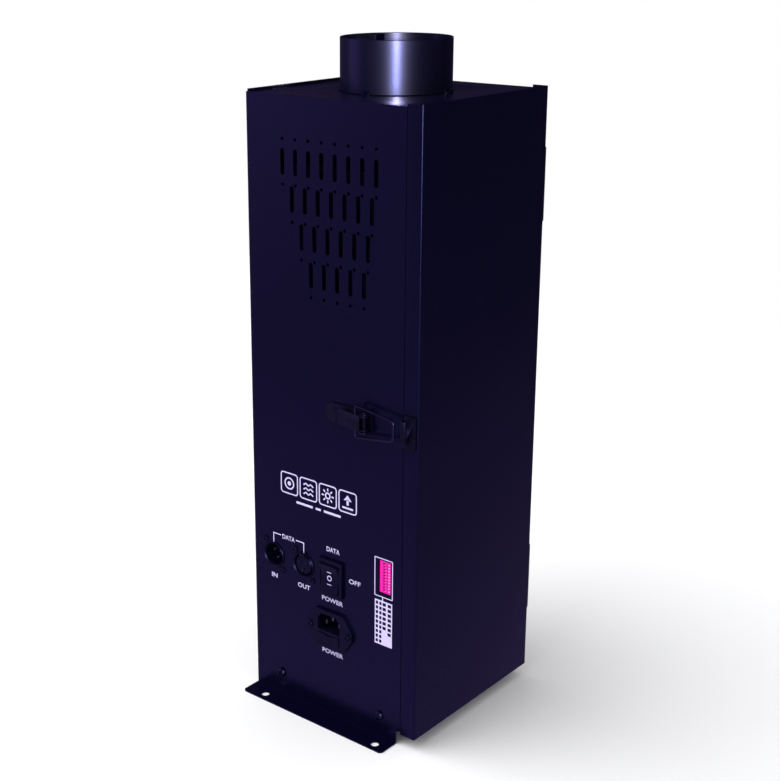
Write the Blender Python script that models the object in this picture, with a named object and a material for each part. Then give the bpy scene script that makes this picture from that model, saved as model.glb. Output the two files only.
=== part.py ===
"""Fog machine: a tall sheet-metal tower with a chimney outlet, a hinged service door and a control panel.

Metres, +Z up. The origin is the middle of the footprint at floor level. The control panel faces -Y and
the service door is the +X side. Helper outlines are lists of 2-D points that prism() extrudes.
"""

import math

import bmesh
import bpy
from mathutils import Matrix, Vector

MM = 0.001

# Case
BODY_WIDTH = 172 * MM
BODY_DEPTH = 164 * MM
BODY_TOP = 516.5 * MM
SHEET = 1.2 * MM
GAP = 0.3 * MM
SIDE_LOW = 10.5 * MM
SIDE_PROUD = 2.0 * MM
FOOT_REACH = 19.3 * MM
FOOT_RIGHT = 67.1 * MM
FOOT_HOLE_R = 3.5 * MM
FOOT_HOLE_X = (-66.3 * MM, 55.4 * MM)
FOOT_HOLE_INSET = 12.0 * MM
NOTCH_TOP = 13.9 * MM
SEAM_X = 71.6 * MM
DOOR_LIP_X = 72.0 * MM
CASE_SCREWS = ((-57.2 * MM, 20.4 * MM), (50.3 * MM, 20.0 * MM))

# Chimney
CHIMNEY_R = 44.0 * MM
CHIMNEY_TOP = 557.5 * MM
CHIMNEY_Y = -2.5 * MM
CHIMNEY_FLANGE_R = 52.0 * MM

# Vents: four rows of slots that form an inverted triangle, with a dot under each slot
VENT_COUNTS = (8, 7, 6, 5)
VENT_LEFT = -48.8 * MM
VENT_PITCH = 13.25 * MM
VENT_ROW_SHIFT = 9.5 * MM
VENT_TOP = 475.8 * MM
VENT_ROW_DROP = 28.7 * MM
VENT_LENGTH = 20.7 * MM
VENT_WIDTH = 4.0 * MM
VENT_DOT_R = 1.4 * MM
VENT_DOT_OFFSET = 7.45 * MM

# Door hinges
HINGE_X = 71.9 * MM
HINGE_Y = 85.0 * MM
HINGE_HEIGHT = 60.0 * MM
HINGE_LEVELS = {"lower": 95.0 * MM, "upper": 440.0 * MM}
KNUCKLE_R = 2.4 * MM
HINGE_PIN_R = 1.3 * MM

# Draw latch
LATCH_Z = 272.5 * MM
LATCH_PIVOT = (38.0 * MM, -88.0 * MM)
BAIL_PIVOT = (29.5 * MM, -88.4 * MM)
BAIL_END_X = 67.0 * MM
BAIL_WIDE_HALF = 12.8 * MM
BAIL_NARROW_HALF = 8.8 * MM
BAIL_WIRE_R = 1.15 * MM

# Control panel
DATA_CENTRES = {"in": (-64.2 * MM, 130.0 * MM), "out": (-31.0 * MM, 130.0 * MM)}
DATA_BARREL_R = 11.4 * MM
DATA_SCREW = (9.5 * MM, 12.0 * MM)
ROCKER_CENTRE = (-0.7 * MM, 128.0 * MM)
ROCKER_AXIS_Y = -83.0 * MM
INLET_CENTRE = (-1.6 * MM, 80.8 * MM)
INLET_SCREW_X = 20.0 * MM
ADDRESS_LOW = (49.0 * MM, 131.0 * MM)
ADDRESS_SIZE = (11.2 * MM, 27.8 * MM)
ADDRESS_WAYS = 10
ADDRESS_PITCH = 2.54 * MM
ADDRESS_FACE_Y = -81.0 * MM

# Inside
FAN_CENTRE = (0.0, 425.0 * MM)
FAN_SIZE = 80.0 * MM
SHELF_Z = 250.0 * MM
BOTTLE_CENTRE = (-33.0 * MM, 33.0 * MM)
BOTTLE_SIZE = (86.0 * MM, 82.0 * MM)
BOTTLE_LOW = 12.5 * MM
BOTTLE_SHOULDER = 172.0 * MM
PUMP_CENTRE = (52.0 * MM, 45.0 * MM)
TUBE_R = 2.5 * MM

LEFT = -BODY_WIDTH / 2
RIGHT = BODY_WIDTH / 2
FRONT = -BODY_DEPTH / 2
REAR = BODY_DEPTH / 2
LINING = SHEET + GAP

FINISHES = {
    "black_powder_coat": ((0.012, 0.011, 0.022), 0.45, 0.0),
    "black_plastic": ((0.01, 0.01, 0.014), 0.35, 0.0),
    "blackened_steel": ((0.03, 0.03, 0.035), 0.3, 0.9),
    "red_plastic": ((0.5, 0.01, 0.03), 0.4, 0.0),
    "white_plastic": ((0.75, 0.72, 0.72), 0.4, 0.0),
    "bright_metal": ((0.6, 0.6, 0.62), 0.3, 1.0),
    "aluminium": ((0.5, 0.51, 0.53), 0.4, 0.9),
    "clear_plastic": ((0.75, 0.8, 0.82), 0.3, 0.0),
    "circuit_board": ((0.02, 0.12, 0.05), 0.5, 0.0),
}


def clear_scene():
    for obj in list(bpy.data.objects):
        bpy.data.objects.remove(obj, do_unlink=True)


def finish_material(name):
    """A Principled material of the finish's colour, roughness and metallic value."""
    material = bpy.data.materials.get(name)
    if material is None:
        colour, roughness, metallic = FINISHES[name]
        material = bpy.data.materials.new(name)
        material.use_nodes = True
        shader = material.node_tree.nodes["Principled BSDF"]
        shader.inputs["Base Color"].default_value = (*colour, 1.0)
        shader.inputs["Roughness"].default_value = roughness
        shader.inputs["Metallic"].default_value = metallic
        material.diffuse_color = (*colour, 1.0)
    return material


def object_of(name, bm):
    """A new scene object from a bmesh whose faces are turned outwards."""
    bmesh.ops.recalc_face_normals(bm, faces=bm.faces)
    mesh = bpy.data.meshes.new(name)
    bm.to_mesh(mesh)
    bm.free()
    obj = bpy.data.objects.new(name, mesh)
    bpy.context.scene.collection.objects.link(obj)
    return obj


def dressed(obj, finish):
    """Gives the object its finish, and smooth shading apart from its sharp edges."""
    obj.data.materials.clear()
    obj.data.materials.append(finish_material(finish))
    obj.data.shade_smooth()
    obj.data.set_sharp_from_angle(angle=math.radians(30))
    return obj


def placed(axis, along, u, v):
    """The 3-D point at a distance along an axis and at (u, v) on the plane across it."""
    return {"X": (along, u, v), "Y": (u, along, v), "Z": (u, v, along)}[axis]


def prisms(name, outlines, axis, low, high):
    """Closed outlines, each extruded along an axis from low to high, in one object."""
    bm = bmesh.new()
    for outline in outlines:
        ends = [[bm.verts.new(placed(axis, along, u, v)) for u, v in outline] for along in (low, high)]
        bm.faces.new(ends[0])
        bm.faces.new(ends[1][::-1])
        for index in range(len(outline)):
            after = (index + 1) % len(outline)
            bm.faces.new((ends[0][after], ends[0][index], ends[1][index], ends[1][after]))
    return object_of(name, bm)


def prism(name, outline, axis, low, high):
    return prisms(name, [outline], axis, low, high)


def lathe(name, profile, axis, centre, steps):
    """A profile of (radius, place along the axis) points turned about an axis; a radius of 0 is a pole."""
    bm = bmesh.new()
    rings = []
    for radius, along in profile:
        ring = circle(centre, radius, steps) if radius else [centre]
        rings.append([bm.verts.new(placed(axis, along, u, v)) for u, v in ring])
    pairs = list(zip(rings, rings[1:]))
    if profile[0][0]:
        pairs.append((rings[-1], rings[0]))
    for upper, lower in pairs:
        for step in range(steps):
            after = (step + 1) % steps
            corners = [upper[step % len(upper)], upper[after % len(upper)]]
            corners += [lower[after % len(lower)], lower[step % len(lower)]]
            bm.faces.new(list(dict.fromkeys(corners)))
    return object_of(name, bm)


def rect(low_u, low_v, high_u, high_v):
    return [(low_u, low_v), (high_u, low_v), (high_u, high_v), (low_u, high_v)]


def block(name, low, high):
    return prism(name, rect(low[0], low[1], high[0], high[1]), "Z", low[2], high[2])


def arc(centre, radius, start, end, steps):
    """Points on an arc between two angles in degrees."""
    angles = (math.radians(start + (end - start) * step / steps) for step in range(steps + 1))
    return [(centre[0] + radius * math.cos(a), centre[1] + radius * math.sin(a)) for a in angles]


def circle(centre, radius, steps):
    return arc(centre, radius, 0, 360, steps)[:-1]


def upright_slot(centre, length, width, steps):
    """A slot that stands upright, with round ends."""
    radius = width / 2
    rise = length / 2 - radius
    top = arc((centre[0], centre[1] + rise), radius, 0, 180, steps)
    return top + arc((centre[0], centre[1] - rise), radius, 180, 360, steps)


def rounded_rect(low, high, radius, steps):
    corners = ((high[0], high[1], 0), (low[0], high[1], 90), (low[0], low[1], 180), (high[0], low[1], 270))
    points = []
    for u, v, start in corners:
        side_u = radius if u == low[0] else -radius
        side_v = radius if v == low[1] else -radius
        points += arc((u + side_u, v + side_v), radius, start, start + 90, steps)
    return points


def combine(target, operation, tools):
    """Applies one Boolean for each tool to the target's mesh, and removes the tools."""
    for tool in tools:
        modifier = target.modifiers.new("combine", "BOOLEAN")
        modifier.operation = operation
        modifier.solver = "EXACT"
        modifier.object = tool
    bpy.context.view_layer.update()
    graph = bpy.context.evaluated_depsgraph_get()
    made = bpy.data.meshes.new_from_object(target.evaluated_get(graph))
    target.modifiers.clear()
    target.data = made
    made.name = target.name
    for tool in tools:
        bpy.data.objects.remove(tool, do_unlink=True)
    return target


def union(target, *tools):
    return combine(target, "UNION", tools)


def cut(target, *tools):
    return combine(target, "DIFFERENCE", tools)


def tube(name, points, radius, resolution=2):
    """A round tube through a list of points, with closed ends."""
    curve = bpy.data.curves.new(name, "CURVE")
    curve.dimensions = "3D"
    curve.bevel_depth = radius
    curve.bevel_resolution = resolution
    curve.use_fill_caps = True
    spline = curve.splines.new("POLY")
    spline.points.add(len(points) - 1)
    for place, point in zip(spline.points, points):
        place.co = (*point, 1.0)
    obj = bpy.data.objects.new(name, curve)
    bpy.context.scene.collection.objects.link(obj)
    graph = bpy.context.evaluated_depsgraph_get()
    mesh = bpy.data.meshes.new_from_object(obj.evaluated_get(graph))
    bpy.data.objects.remove(obj, do_unlink=True)
    bm = bmesh.new()
    bm.from_mesh(mesh)
    bmesh.ops.remove_doubles(bm, verts=bm.verts, dist=1e-6)
    return object_of(name, bm)


def smooth_route(points, steps):
    """Points on a Catmull-Rom curve through the given points."""
    knots = [Vector(p) for p in points]
    knots = [2 * knots[0] - knots[1], *knots, 2 * knots[-1] - knots[-2]]
    route = []
    for before, start, end, after in zip(knots, knots[1:], knots[2:], knots[3:]):
        for step in range(steps):
            t = step / steps
            bend = (2 * before - 5 * start + 4 * end - after) * t * t
            turn = (3 * start - before - 3 * end + after) * t ** 3
            route.append(0.5 * (2 * start + (end - before) * t + bend + turn))
    return [*route, knots[-2]]


def with_pivot(obj, pivot):
    """Moves the object's origin to its pivot and leaves its shape where it is."""
    obj.data.transform(Matrix.Translation(-Vector(pivot)))
    obj.location = pivot
    return obj


# ---- Case ----


def foot_panel(name, side):
    """A front (-1) or rear (+1) panel with its bolt-down foot bent outwards, before its cut-outs."""
    outer = side * BODY_DEPTH / 2
    inner = outer - side * SHEET
    outline = [
        (LEFT, 0),
        (FOOT_RIGHT, 0),
        (FOOT_RIGHT, NOTCH_TOP),
        (SEAM_X, NOTCH_TOP),
        (SEAM_X, BODY_TOP),
        (LEFT, BODY_TOP),
    ]
    panel = prism(name, outline, "Y", min(inner, outer), max(inner, outer))
    tip = outer + side * FOOT_REACH
    foot = block("foot", (LEFT, min(outer - side * SHEET / 2, tip), 0),
                 (FOOT_RIGHT, max(outer - side * SHEET / 2, tip), SHEET))
    union(panel, foot)
    hole_y = outer + side * FOOT_HOLE_INSET
    holes = [circle((x, hole_y), FOOT_HOLE_R, 12) for x in FOOT_HOLE_X]
    cut(panel, prisms("holes", holes, "Z", -SHEET, 2 * SHEET))
    return panel


def vent_openings():
    """Outlines of the vent slots and of the dots above the first row and below every slot."""
    outlines = []
    for row, count in enumerate(VENT_COUNTS):
        top = VENT_TOP - row * VENT_ROW_DROP
        for step in range(count):
            x = VENT_LEFT + row * VENT_ROW_SHIFT + step * VENT_PITCH
            outlines.append(upright_slot((x, top - VENT_LENGTH / 2), VENT_LENGTH, VENT_WIDTH, 3))
            outlines.append(circle((x, top - VENT_LENGTH - VENT_DOT_OFFSET), VENT_DOT_R, 6))
            if row == 0:
                outlines.append(circle((x, top + VENT_DOT_OFFSET), VENT_DOT_R, 6))
    return outlines


def inlet_outline(half_width, half_height, ear, waist):
    """The inlet's flange: a block with a pointed screw ear on each side."""
    x, z = INLET_CENTRE
    right = [(half_width, -ear), (half_width, ear), (waist, half_height)]
    left = [(-u, v) for u, v in right[::-1]]
    low = [(-waist, -half_height), (waist, -half_height)]
    return [(x + u, z + v) for u, v in right + left + low]


def panel_openings():
    """Outlines of the openings that the controls stand in."""
    outlines = [circle(centre, DATA_BARREL_R + GAP, 32) for centre in DATA_CENTRES.values()]
    outlines += [circle(spot, 2.1 * MM, 8) for spot in CASE_SCREWS]
    for x, z in DATA_CENTRES.values():
        outlines += [circle((x + s * DATA_SCREW[0], z - s * DATA_SCREW[1]), 1.6 * MM, 8) for s in (-1, 1)]
    x, z = ROCKER_CENTRE
    outlines.append(rect(x - 11 * MM, z - 14 * MM, x + 11 * MM, z + 14 * MM))
    x, z = INLET_CENTRE
    outlines.append(rect(x - 13.9 * MM, z - 15.4 * MM, x + 13.9 * MM, z + 15.4 * MM))
    outlines += [circle((x + s * INLET_SCREW_X, z), 1.9 * MM, 8) for s in (-1, 1)]
    x, z = ADDRESS_LOW
    wide, tall = ADDRESS_SIZE
    outlines.append(rect(x - 0.6 * MM, z - 0.6 * MM, x + wide + 0.6 * MM, z + tall + 0.6 * MM))
    outlines.append(circle((12.5 * MM, LATCH_Z - 3 * MM), 1.6 * MM, 8))
    return outlines


def make_panels():
    front = foot_panel("front_panel", -1)
    outlines = vent_openings() + panel_openings()
    cut(front, prisms("openings", outlines, "Y", FRONT - SHEET, FRONT + 2 * SHEET))
    rear = foot_panel("rear_panel", 1)
    low, high = (LEFT, FRONT + LINING, SIDE_LOW), (LEFT + SHEET, REAR - LINING, BODY_TOP + SIDE_PROUD)
    left = block("left_panel", low, high)
    for panel in (front, rear, left):
        dressed(panel, "black_powder_coat")


def inner_plate(name, low, holes=()):
    """A level plate inside the case, notched at its right corners so that the door's lips swing past it."""
    inset = FRONT + LINING
    clear = FRONT + 3 * MM
    outline = [(LEFT + LINING, inset), (SEAM_X - 3 * MM, inset), (SEAM_X - 3 * MM, clear), (RIGHT - LINING, clear)]
    outline += [(RIGHT - LINING, -inset), (LEFT + LINING, -inset)]
    plate = prism(name, outline, "Z", low, low + SHEET)
    if holes:
        cut(plate, prisms("holes", holes, "Z", low - SHEET, low + 2 * SHEET))
    return plate


def make_plates():
    top = inner_plate("top_plate", BODY_TOP - SHEET, [circle((0, CHIMNEY_Y), CHIMNEY_R + GAP, 48)])
    shelf = inner_plate("heater_shelf", SHELF_Z, [circle((46 * MM, 25 * MM), 5 * MM, 12)])
    tray = inner_plate("base_tray", SIDE_LOW + GAP)
    for side in (-1, 1):
        inner, outer = sorted((side * (REAR - LINING), side * (REAR - LINING - SHEET)))
        upstand = block("upstand", (LEFT + LINING, inner, SIDE_LOW + GAP), (FOOT_RIGHT, outer, 32 * MM))
        union(tray, upstand)
    cut(tray, prisms("holes", [circle(spot, 2.1 * MM, 8) for spot in CASE_SCREWS], "Y", FRONT, FRONT + 4 * SHEET))
    for plate in (top, shelf, tray):
        dressed(plate, "black_powder_coat")


def make_chimney():
    """A rolled tube with a flange that holds it under the top plate."""
    low = BODY_TOP - 5 * MM
    under = BODY_TOP - SHEET - GAP
    profile = [
        (CHIMNEY_R - SHEET, CHIMNEY_TOP),
        (CHIMNEY_R, CHIMNEY_TOP),
        (CHIMNEY_R, under),
        (CHIMNEY_FLANGE_R, under),
        (CHIMNEY_FLANGE_R, under - SHEET),
        (CHIMNEY_R, under - SHEET),
        (CHIMNEY_R, low),
        (CHIMNEY_R - SHEET, low),
    ]
    dressed(lathe("chimney_collar", profile, "Z", (0, CHIMNEY_Y), 48), "black_powder_coat")


def make_door():
    """The right side of the case, with a lip round its front and rear edges."""
    inner = RIGHT - SHEET
    deep = REAR - SHEET
    outline = [(DOOR_LIP_X, FRONT), (RIGHT, FRONT), (RIGHT, REAR), (DOOR_LIP_X, REAR)]
    outline += [(DOOR_LIP_X, deep), (inner, deep), (inner, -deep), (DOOR_LIP_X, -deep)]
    door = prism("door", outline, "Z", SIDE_LOW, BODY_TOP + SIDE_PROUD)
    dressed(with_pivot(door, (HINGE_X, HINGE_Y, 0)), "black_powder_coat")


def hinge_leaf(name, level, side, zones):
    """A leaf to the left (-1) or right (+1) of the hinge pin, with a knuckle in each of its zones."""
    half = HINGE_HEIGHT / 2
    near, far = HINGE_X + side * 2.4 * MM, HINGE_X + side * 13.4 * MM
    low_y = REAR + GAP
    high_y = low_y + 1.0 * MM
    leaf = block(name, (min(near, far), low_y, level - half), (max(near, far), high_y, level + half))
    parts = []
    for low, high in zones:
        tongue = sorted((HINGE_X + side * 0.8 * MM, HINGE_X + side * 3.0 * MM))
        parts.append(block("tongue", (tongue[0], low_y, level + low), (tongue[1], high_y, level + high)))
        parts.append(prism("knuckle", circle((HINGE_X, HINGE_Y), KNUCKLE_R, 16), "Z", level + low, level + high))
    union(leaf, *parts)
    bore = circle((HINGE_X, HINGE_Y), HINGE_PIN_R + GAP, 16)
    cut(leaf, prism("bore", bore, "Z", level - 2 * half, level + 2 * half))
    return dressed(leaf, "blackened_steel")


def make_hinges():
    half = HINGE_HEIGHT / 2
    third = HINGE_HEIGHT / 6
    for place, level in HINGE_LEVELS.items():
        hinge_leaf(f"hinge_{place}_frame_leaf", level, -1, [(-half, -third), (third, half)])
        hinge_leaf(f"hinge_{place}_door_leaf", level, 1, [(GAP - third, third - GAP)])
        top = level + half + GAP
        head = [(0, top + 1.2 * MM), (1.6 * MM, top + 1.2 * MM), (KNUCKLE_R, top + 0.6 * MM), (KNUCKLE_R, top)]
        shank = [(HINGE_PIN_R, top), (HINGE_PIN_R, level - half), (0, level - half)]
        pin = lathe(f"hinge_{place}_pin", head + shank, "Z", (HINGE_X, HINGE_Y), 16)
        dressed(pin, "bright_metal")


def pan_screw(name, centre, seat, head_r, shank_r, length, finish):
    """A pan-head screw whose head stands in front of a face at y = seat."""
    out = seat - GAP
    profile = [
        (0, out - 0.62 * head_r),
        (0.55 * head_r, out - 0.52 * head_r),
        (head_r, out - 0.2 * head_r),
        (head_r, out),
        (shank_r, out),
        (shank_r, seat + length),
        (0, seat + length),
    ]
    dressed(lathe(name, profile, "Y", centre, 12), finish)


def make_case_screws():
    for hand, spot in zip(("left", "right"), CASE_SCREWS):
        pan_screw(f"case_screw_{hand}", spot, FRONT, 4.0 * MM, 1.7 * MM, 8 * MM, "blackened_steel")


# ---- Draw latch ----


def make_latch_base():
    """The plate on the front panel, with two ears that carry the lever's trunnions."""
    x, y = LATCH_PIVOT
    low_y, high_y = FRONT - GAP - SHEET, FRONT - GAP
    half = 8.0 * MM
    outline = arc((x - 35 * MM, LATCH_Z), half, 90, 270, 8)
    outline += [(x + 5 * MM, LATCH_Z - half), (x + 5 * MM, LATCH_Z + half)]
    base = prism("latch_base", outline, "Y", low_y, high_y)
    ears = []
    for side in (-1, 1):
        low, high = sorted((LATCH_Z + side * half, LATCH_Z + side * (half - SHEET)))
        ear = [(x - 5 * MM, high_y), (x + 5 * MM, high_y)] + arc((x, y), 3.6 * MM, 0, -180, 6)
        ears.append(prism("ear", ear, "Z", low, high))
    union(base, *ears)
    cut(base, prism("bore", circle((x, y), 1.6 * MM, 12), "Z", LATCH_Z - 2 * half, LATCH_Z + 2 * half),
        prism("rivet_hole", circle((12.5 * MM, LATCH_Z - 3 * MM), 1.6 * MM, 8), "Y", low_y - SHEET, high_y + SHEET))
    dressed(base, "blackened_steel")


def make_latch_lever():
    """A pressed lever: a sloping web, two cheeks and the trunnions that turn in the base's ears."""
    x, y = LATCH_PIVOT
    bail_x, bail_y = BAIL_PIVOT
    half = 6.2 * MM
    web = [(9 * MM, -86.6 * MM), (7.6 * MM, -88.2 * MM), (8.6 * MM, -88.8 * MM), (11 * MM, -87.6 * MM)]
    web += [(36 * MM, -91.8 * MM), (36 * MM, -90.6 * MM), (11 * MM, -86.4 * MM)]
    lever = prism("latch_lever", web, "Z", LATCH_Z - half, LATCH_Z + half)
    cheek = [(22 * MM, -88.9 * MM), (36 * MM, -91.2 * MM)]
    cheek += arc((x, y), 3.0 * MM, -70, 90, 6) + [(24 * MM, -85.0 * MM)]
    parts = []
    for side in (-1, 1):
        low, high = sorted((LATCH_Z + side * half, LATCH_Z + side * (half - SHEET)))
        parts.append(prism("cheek", cheek, "Z", low, high))
    parts.append(prism("trunnions", circle((x, y), 1.3 * MM, 12), "Z", LATCH_Z - 9 * MM, LATCH_Z + 9 * MM))
    union(lever, *parts)
    bore = BAIL_WIRE_R + GAP
    cut(lever, prism("bore", circle((bail_x, bail_y), bore, 12), "Z", LATCH_Z - 2 * half, LATCH_Z + 2 * half))
    dressed(with_pivot(lever, (x, y, LATCH_Z)), "blackened_steel")


def make_latch_bail():
    """A bent wire loop that narrows towards the catch; its turned-in ends stand in the lever's cheeks."""
    x, y = BAIL_PIVOT
    bend, corner = 2.0 * MM, 4.0 * MM
    side = [(x, 4.4 * MM)] + arc((x + bend, BAIL_WIDE_HALF - bend), bend, 180, 97, 3)
    side += arc((BAIL_END_X - corner, BAIL_NARROW_HALF - corner), corner, 83, 0, 4)
    outline = [(u, LATCH_Z + v) for u, v in side] + [(u, LATCH_Z - v) for u, v in side[::-1]]
    bail = tube("latch_bail", [(u, y, v) for u, v in outline], BAIL_WIRE_R)
    dressed(with_pivot(bail, (x, y, LATCH_Z)), "bright_metal")


def make_latch_catch():
    """The plate on the door's lip, with a hook that the loop pulls on."""
    low_x, high_x = 73.0 * MM, 84.0 * MM
    outer = FRONT - GAP
    plate = block("latch_catch", (low_x, outer - SHEET, LATCH_Z - 13 * MM), (high_x, outer, LATCH_Z + 13 * MM))
    hook = [(73.0, -82.9), (73.0, -87.4), (74.4, -89.2), (77.4, -89.4), (78.4, -88.4), (78.2, -87.6)]
    hook += [(77.2, -88.1), (75.0, -88.0), (74.2, -87.0), (74.2, -82.9)]
    union(plate, prism("hook", [(u * MM, v * MM) for u, v in hook], "Z", LATCH_Z - 10 * MM, LATCH_Z + 10 * MM))
    dressed(with_pivot(plate, (HINGE_X, HINGE_Y, 0)), "blackened_steel")


def make_latch_rivet():
    pan_screw("latch_rivet", (12.5 * MM, LATCH_Z - 3 * MM), FRONT - GAP - SHEET, 2.6 * MM, 1.3 * MM, 4 * MM,
              "blackened_steel")


# ---- Data sockets ----


def barrel(name, centre, inner_r, back):
    """A socket's round shell with the square flange that holds it behind the panel."""
    x, z = centre
    rim = -83.3 * MM
    wall = [(inner_r, back), (DATA_BARREL_R, back), (DATA_BARREL_R, rim), (inner_r, rim)]
    shell = lathe(name, wall, "Y", centre, 32)
    flange = block("flange", (x - 13 * MM, -80.5 * MM, z - 15.5 * MM), (x + 13 * MM, -78.9 * MM, z + 15.5 * MM))
    cut(flange, prism("middle", circle(centre, DATA_BARREL_R - 0.5 * MM, 32), "Y", -82 * MM, -77 * MM),
        *(prism("hole", circle((x + s * DATA_SCREW[0], z - s * DATA_SCREW[1]), 1.6 * MM, 8), "Y", -82 * MM, -77 * MM)
          for s in (-1, 1)))
    union(shell, flange)
    return shell


def pin_spots(centre, radius):
    """Three pins: one each side, and one at the bottom."""
    return [arc(centre, radius, angle, angle, 1)[0] for angle in (35, 145, 270)]


def make_data_in():
    """The plug-type socket: an open shell with three pins standing in it."""
    centre = DATA_CENTRES["in"]
    back = -62 * MM
    dressed(barrel("data_in_shell", centre, 9.6 * MM, back), "black_plastic")
    insert = prism("data_in_insert", circle(centre, 9.3 * MM, 32), "Y", -70 * MM, back)
    spots = pin_spots(centre, 4.2 * MM)
    union(insert, *(prism("pin", circle(spot, 1.2 * MM, 8), "Y", -78.3 * MM, -69 * MM) for spot in spots))
    dressed(insert, "black_plastic")


def make_data_out():
    """The receptacle: a core with three contact holes, and a release tab at the top of its shell."""
    centre = DATA_CENTRES["out"]
    x, z = centre
    back = -62 * MM
    shell = barrel("data_out_shell", centre, 9.8 * MM, back)
    cut(shell, block("tab_slot", (x - 3.1 * MM, -85 * MM, z + 8.5 * MM), (x + 3.1 * MM, -66 * MM, z + 13 * MM)))
    dressed(shell, "black_plastic")
    step, face = -66 * MM, -82.2 * MM
    profile = [(0, back), (9.5 * MM, back), (9.5 * MM, step), (8.3 * MM, step), (8.3 * MM, face), (0, face)]
    core = lathe("data_out_insert", profile, "Y", centre, 32)
    spots = pin_spots(centre, 4.2 * MM)
    cut(core, *(prism("hole", circle(spot, 1.4 * MM, 8), "Y", face - MM, -72 * MM) for spot in spots))
    dressed(core, "black_plastic")
    low, high = (x - 2.8 * MM, -84.6 * MM, z + 8.8 * MM), (x + 2.8 * MM, -68 * MM, z + 11.2 * MM)
    tab = block("data_out_release_tab", low, high)
    dressed(with_pivot(tab, (x, -76 * MM, z + 10 * MM)), "black_plastic")


def make_data_screws():
    for name, (x, z) in DATA_CENTRES.items():
        for place, s in (("upper", -1), ("lower", 1)):
            spot = (x + s * DATA_SCREW[0], z - s * DATA_SCREW[1])
            pan_screw(f"data_{name}_screw_{place}", spot, FRONT, 2.7 * MM, 1.3 * MM, 6 * MM, "blackened_steel")


# ---- Power switch, inlet and address switches ----


def make_rocker_switch():
    x, z = ROCKER_CENTRE
    back = -60 * MM
    bezel = block("switch_bezel", (x - 13 * MM, -84.9 * MM, z - 16 * MM), (x + 13 * MM, FRONT - GAP, z + 16 * MM))
    body = block("body", (x - 10.7 * MM, -83.5 * MM, z - 13.7 * MM), (x + 10.7 * MM, back, z + 13.7 * MM))
    union(bezel, body)
    cut(bezel, block("well", (x - 9.6 * MM, -86 * MM, z - 12.6 * MM), (x + 9.6 * MM, back - 3 * MM, z + 12.6 * MM)))
    dressed(bezel, "black_plastic")
    front = [(-86.6, -11.8), (-84.4, 0.0), (-86.6, 11.8), (-84.0, 12.0)]
    behind = [(-78.0, 9.0), (-73.0, 4.0), (-73.0, -4.0), (-78.0, -9.0), (-84.0, -12.0)]
    outline = [(y * MM, z + v * MM) for y, v in front + behind]
    rocker = prism("switch_rocker", outline, "X", x - 9.2 * MM, x + 9.2 * MM)
    dressed(with_pivot(rocker, (x, ROCKER_AXIS_Y, z)), "black_plastic")


def make_inlet():
    """A fused power inlet: flange and body, three flat pins, and a fuse drawer below the socket."""
    x, z = INLET_CENTRE
    face = -84.9 * MM
    inlet = prism("inlet_body", inlet_outline(24.5 * MM, 16.5 * MM, 3.5 * MM, 15 * MM), "Y", face, FRONT - GAP)
    union(inlet, block("body", (x - 13.6 * MM, -84 * MM, z - 15.1 * MM), (x + 13.6 * MM, -52 * MM, z + 15.1 * MM)))
    socket = [(x - 11.7 * MM, z - 2 * MM), (x + 11.7 * MM, z - 2 * MM), (x + 11.7 * MM, z + 9 * MM)]
    socket += [(x + 7.7 * MM, z + 13 * MM), (x - 7.7 * MM, z + 13 * MM), (x - 11.7 * MM, z + 9 * MM)]
    cut(inlet, prism("socket", socket, "Y", face - MM, -68 * MM),
        block("pocket", (x - 11.5 * MM, face - MM, z - 13.3 * MM), (x + 11.5 * MM, -58 * MM, z - 4.2 * MM)),
        *(prism("hole", circle((x + s * INLET_SCREW_X, z), 1.9 * MM, 8), "Y", face - MM, FRONT) for s in (-1, 1)))
    pins = [(x - 7 * MM, z + 3.4 * MM), (x + 7 * MM, z + 3.4 * MM), (x, z + 8 * MM)]
    union(inlet, *(block("pin", (u - MM, -79.4 * MM, v - 2 * MM), (u + MM, -67 * MM, v + 2 * MM))
                   for u, v in pins))
    dressed(inlet, "black_plastic")
    low, high = (x - 11.1 * MM, -85.5 * MM, z - 12.9 * MM), (x + 11.1 * MM, -59 * MM, z - 4.6 * MM)
    drawer = block("inlet_fuse_drawer", low, high)
    cut(drawer, block("fuse_bed", (x - 9 * MM, -82 * MM, z - 11 * MM), (x + 9 * MM, -62 * MM, z - 4 * MM)),
        block("grip", (x - 4 * MM, -86 * MM, z - 5.8 * MM), (x + 4 * MM, -84.3 * MM, z - 4 * MM)))
    dressed(drawer, "black_plastic")
    for hand, s in (("left", -1), ("right", 1)):
        pan_screw(f"inlet_screw_{hand}", (x + s * INLET_SCREW_X, z), face, 2.8 * MM, 1.4 * MM, 7 * MM,
                  "blackened_steel")


def make_address_switches():
    """A ten-way switch block with one slider in each slot."""
    x, z = ADDRESS_LOW
    wide, tall = ADDRESS_SIZE
    body = block("address_switch_body", (x, ADDRESS_FACE_Y, z), (x + wide, -74.6 * MM, z + tall))
    middle = z + tall / 2 - ADDRESS_PITCH * (ADDRESS_WAYS - 1) / 2
    levels = [middle + way * ADDRESS_PITCH for way in range(ADDRESS_WAYS)]
    cut(body, *(block("slot", (x + 3.2 * MM, ADDRESS_FACE_Y - MM, v - 0.8 * MM),
                      (x + 8.0 * MM, ADDRESS_FACE_Y + 2.6 * MM, v + 0.8 * MM)) for v in levels))
    dressed(body, "red_plastic")
    for way, v in enumerate(levels, 1):
        slider = block(f"address_slider_{way:02d}", (x + 5.8 * MM, ADDRESS_FACE_Y - 0.7 * MM, v - 0.5 * MM),
                       (x + 7.6 * MM, ADDRESS_FACE_Y + 2.2 * MM, v + 0.5 * MM))
        dressed(with_pivot(slider, (x + 6.7 * MM, ADDRESS_FACE_Y, v)), "white_plastic")


# ---- Inside ----


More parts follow.
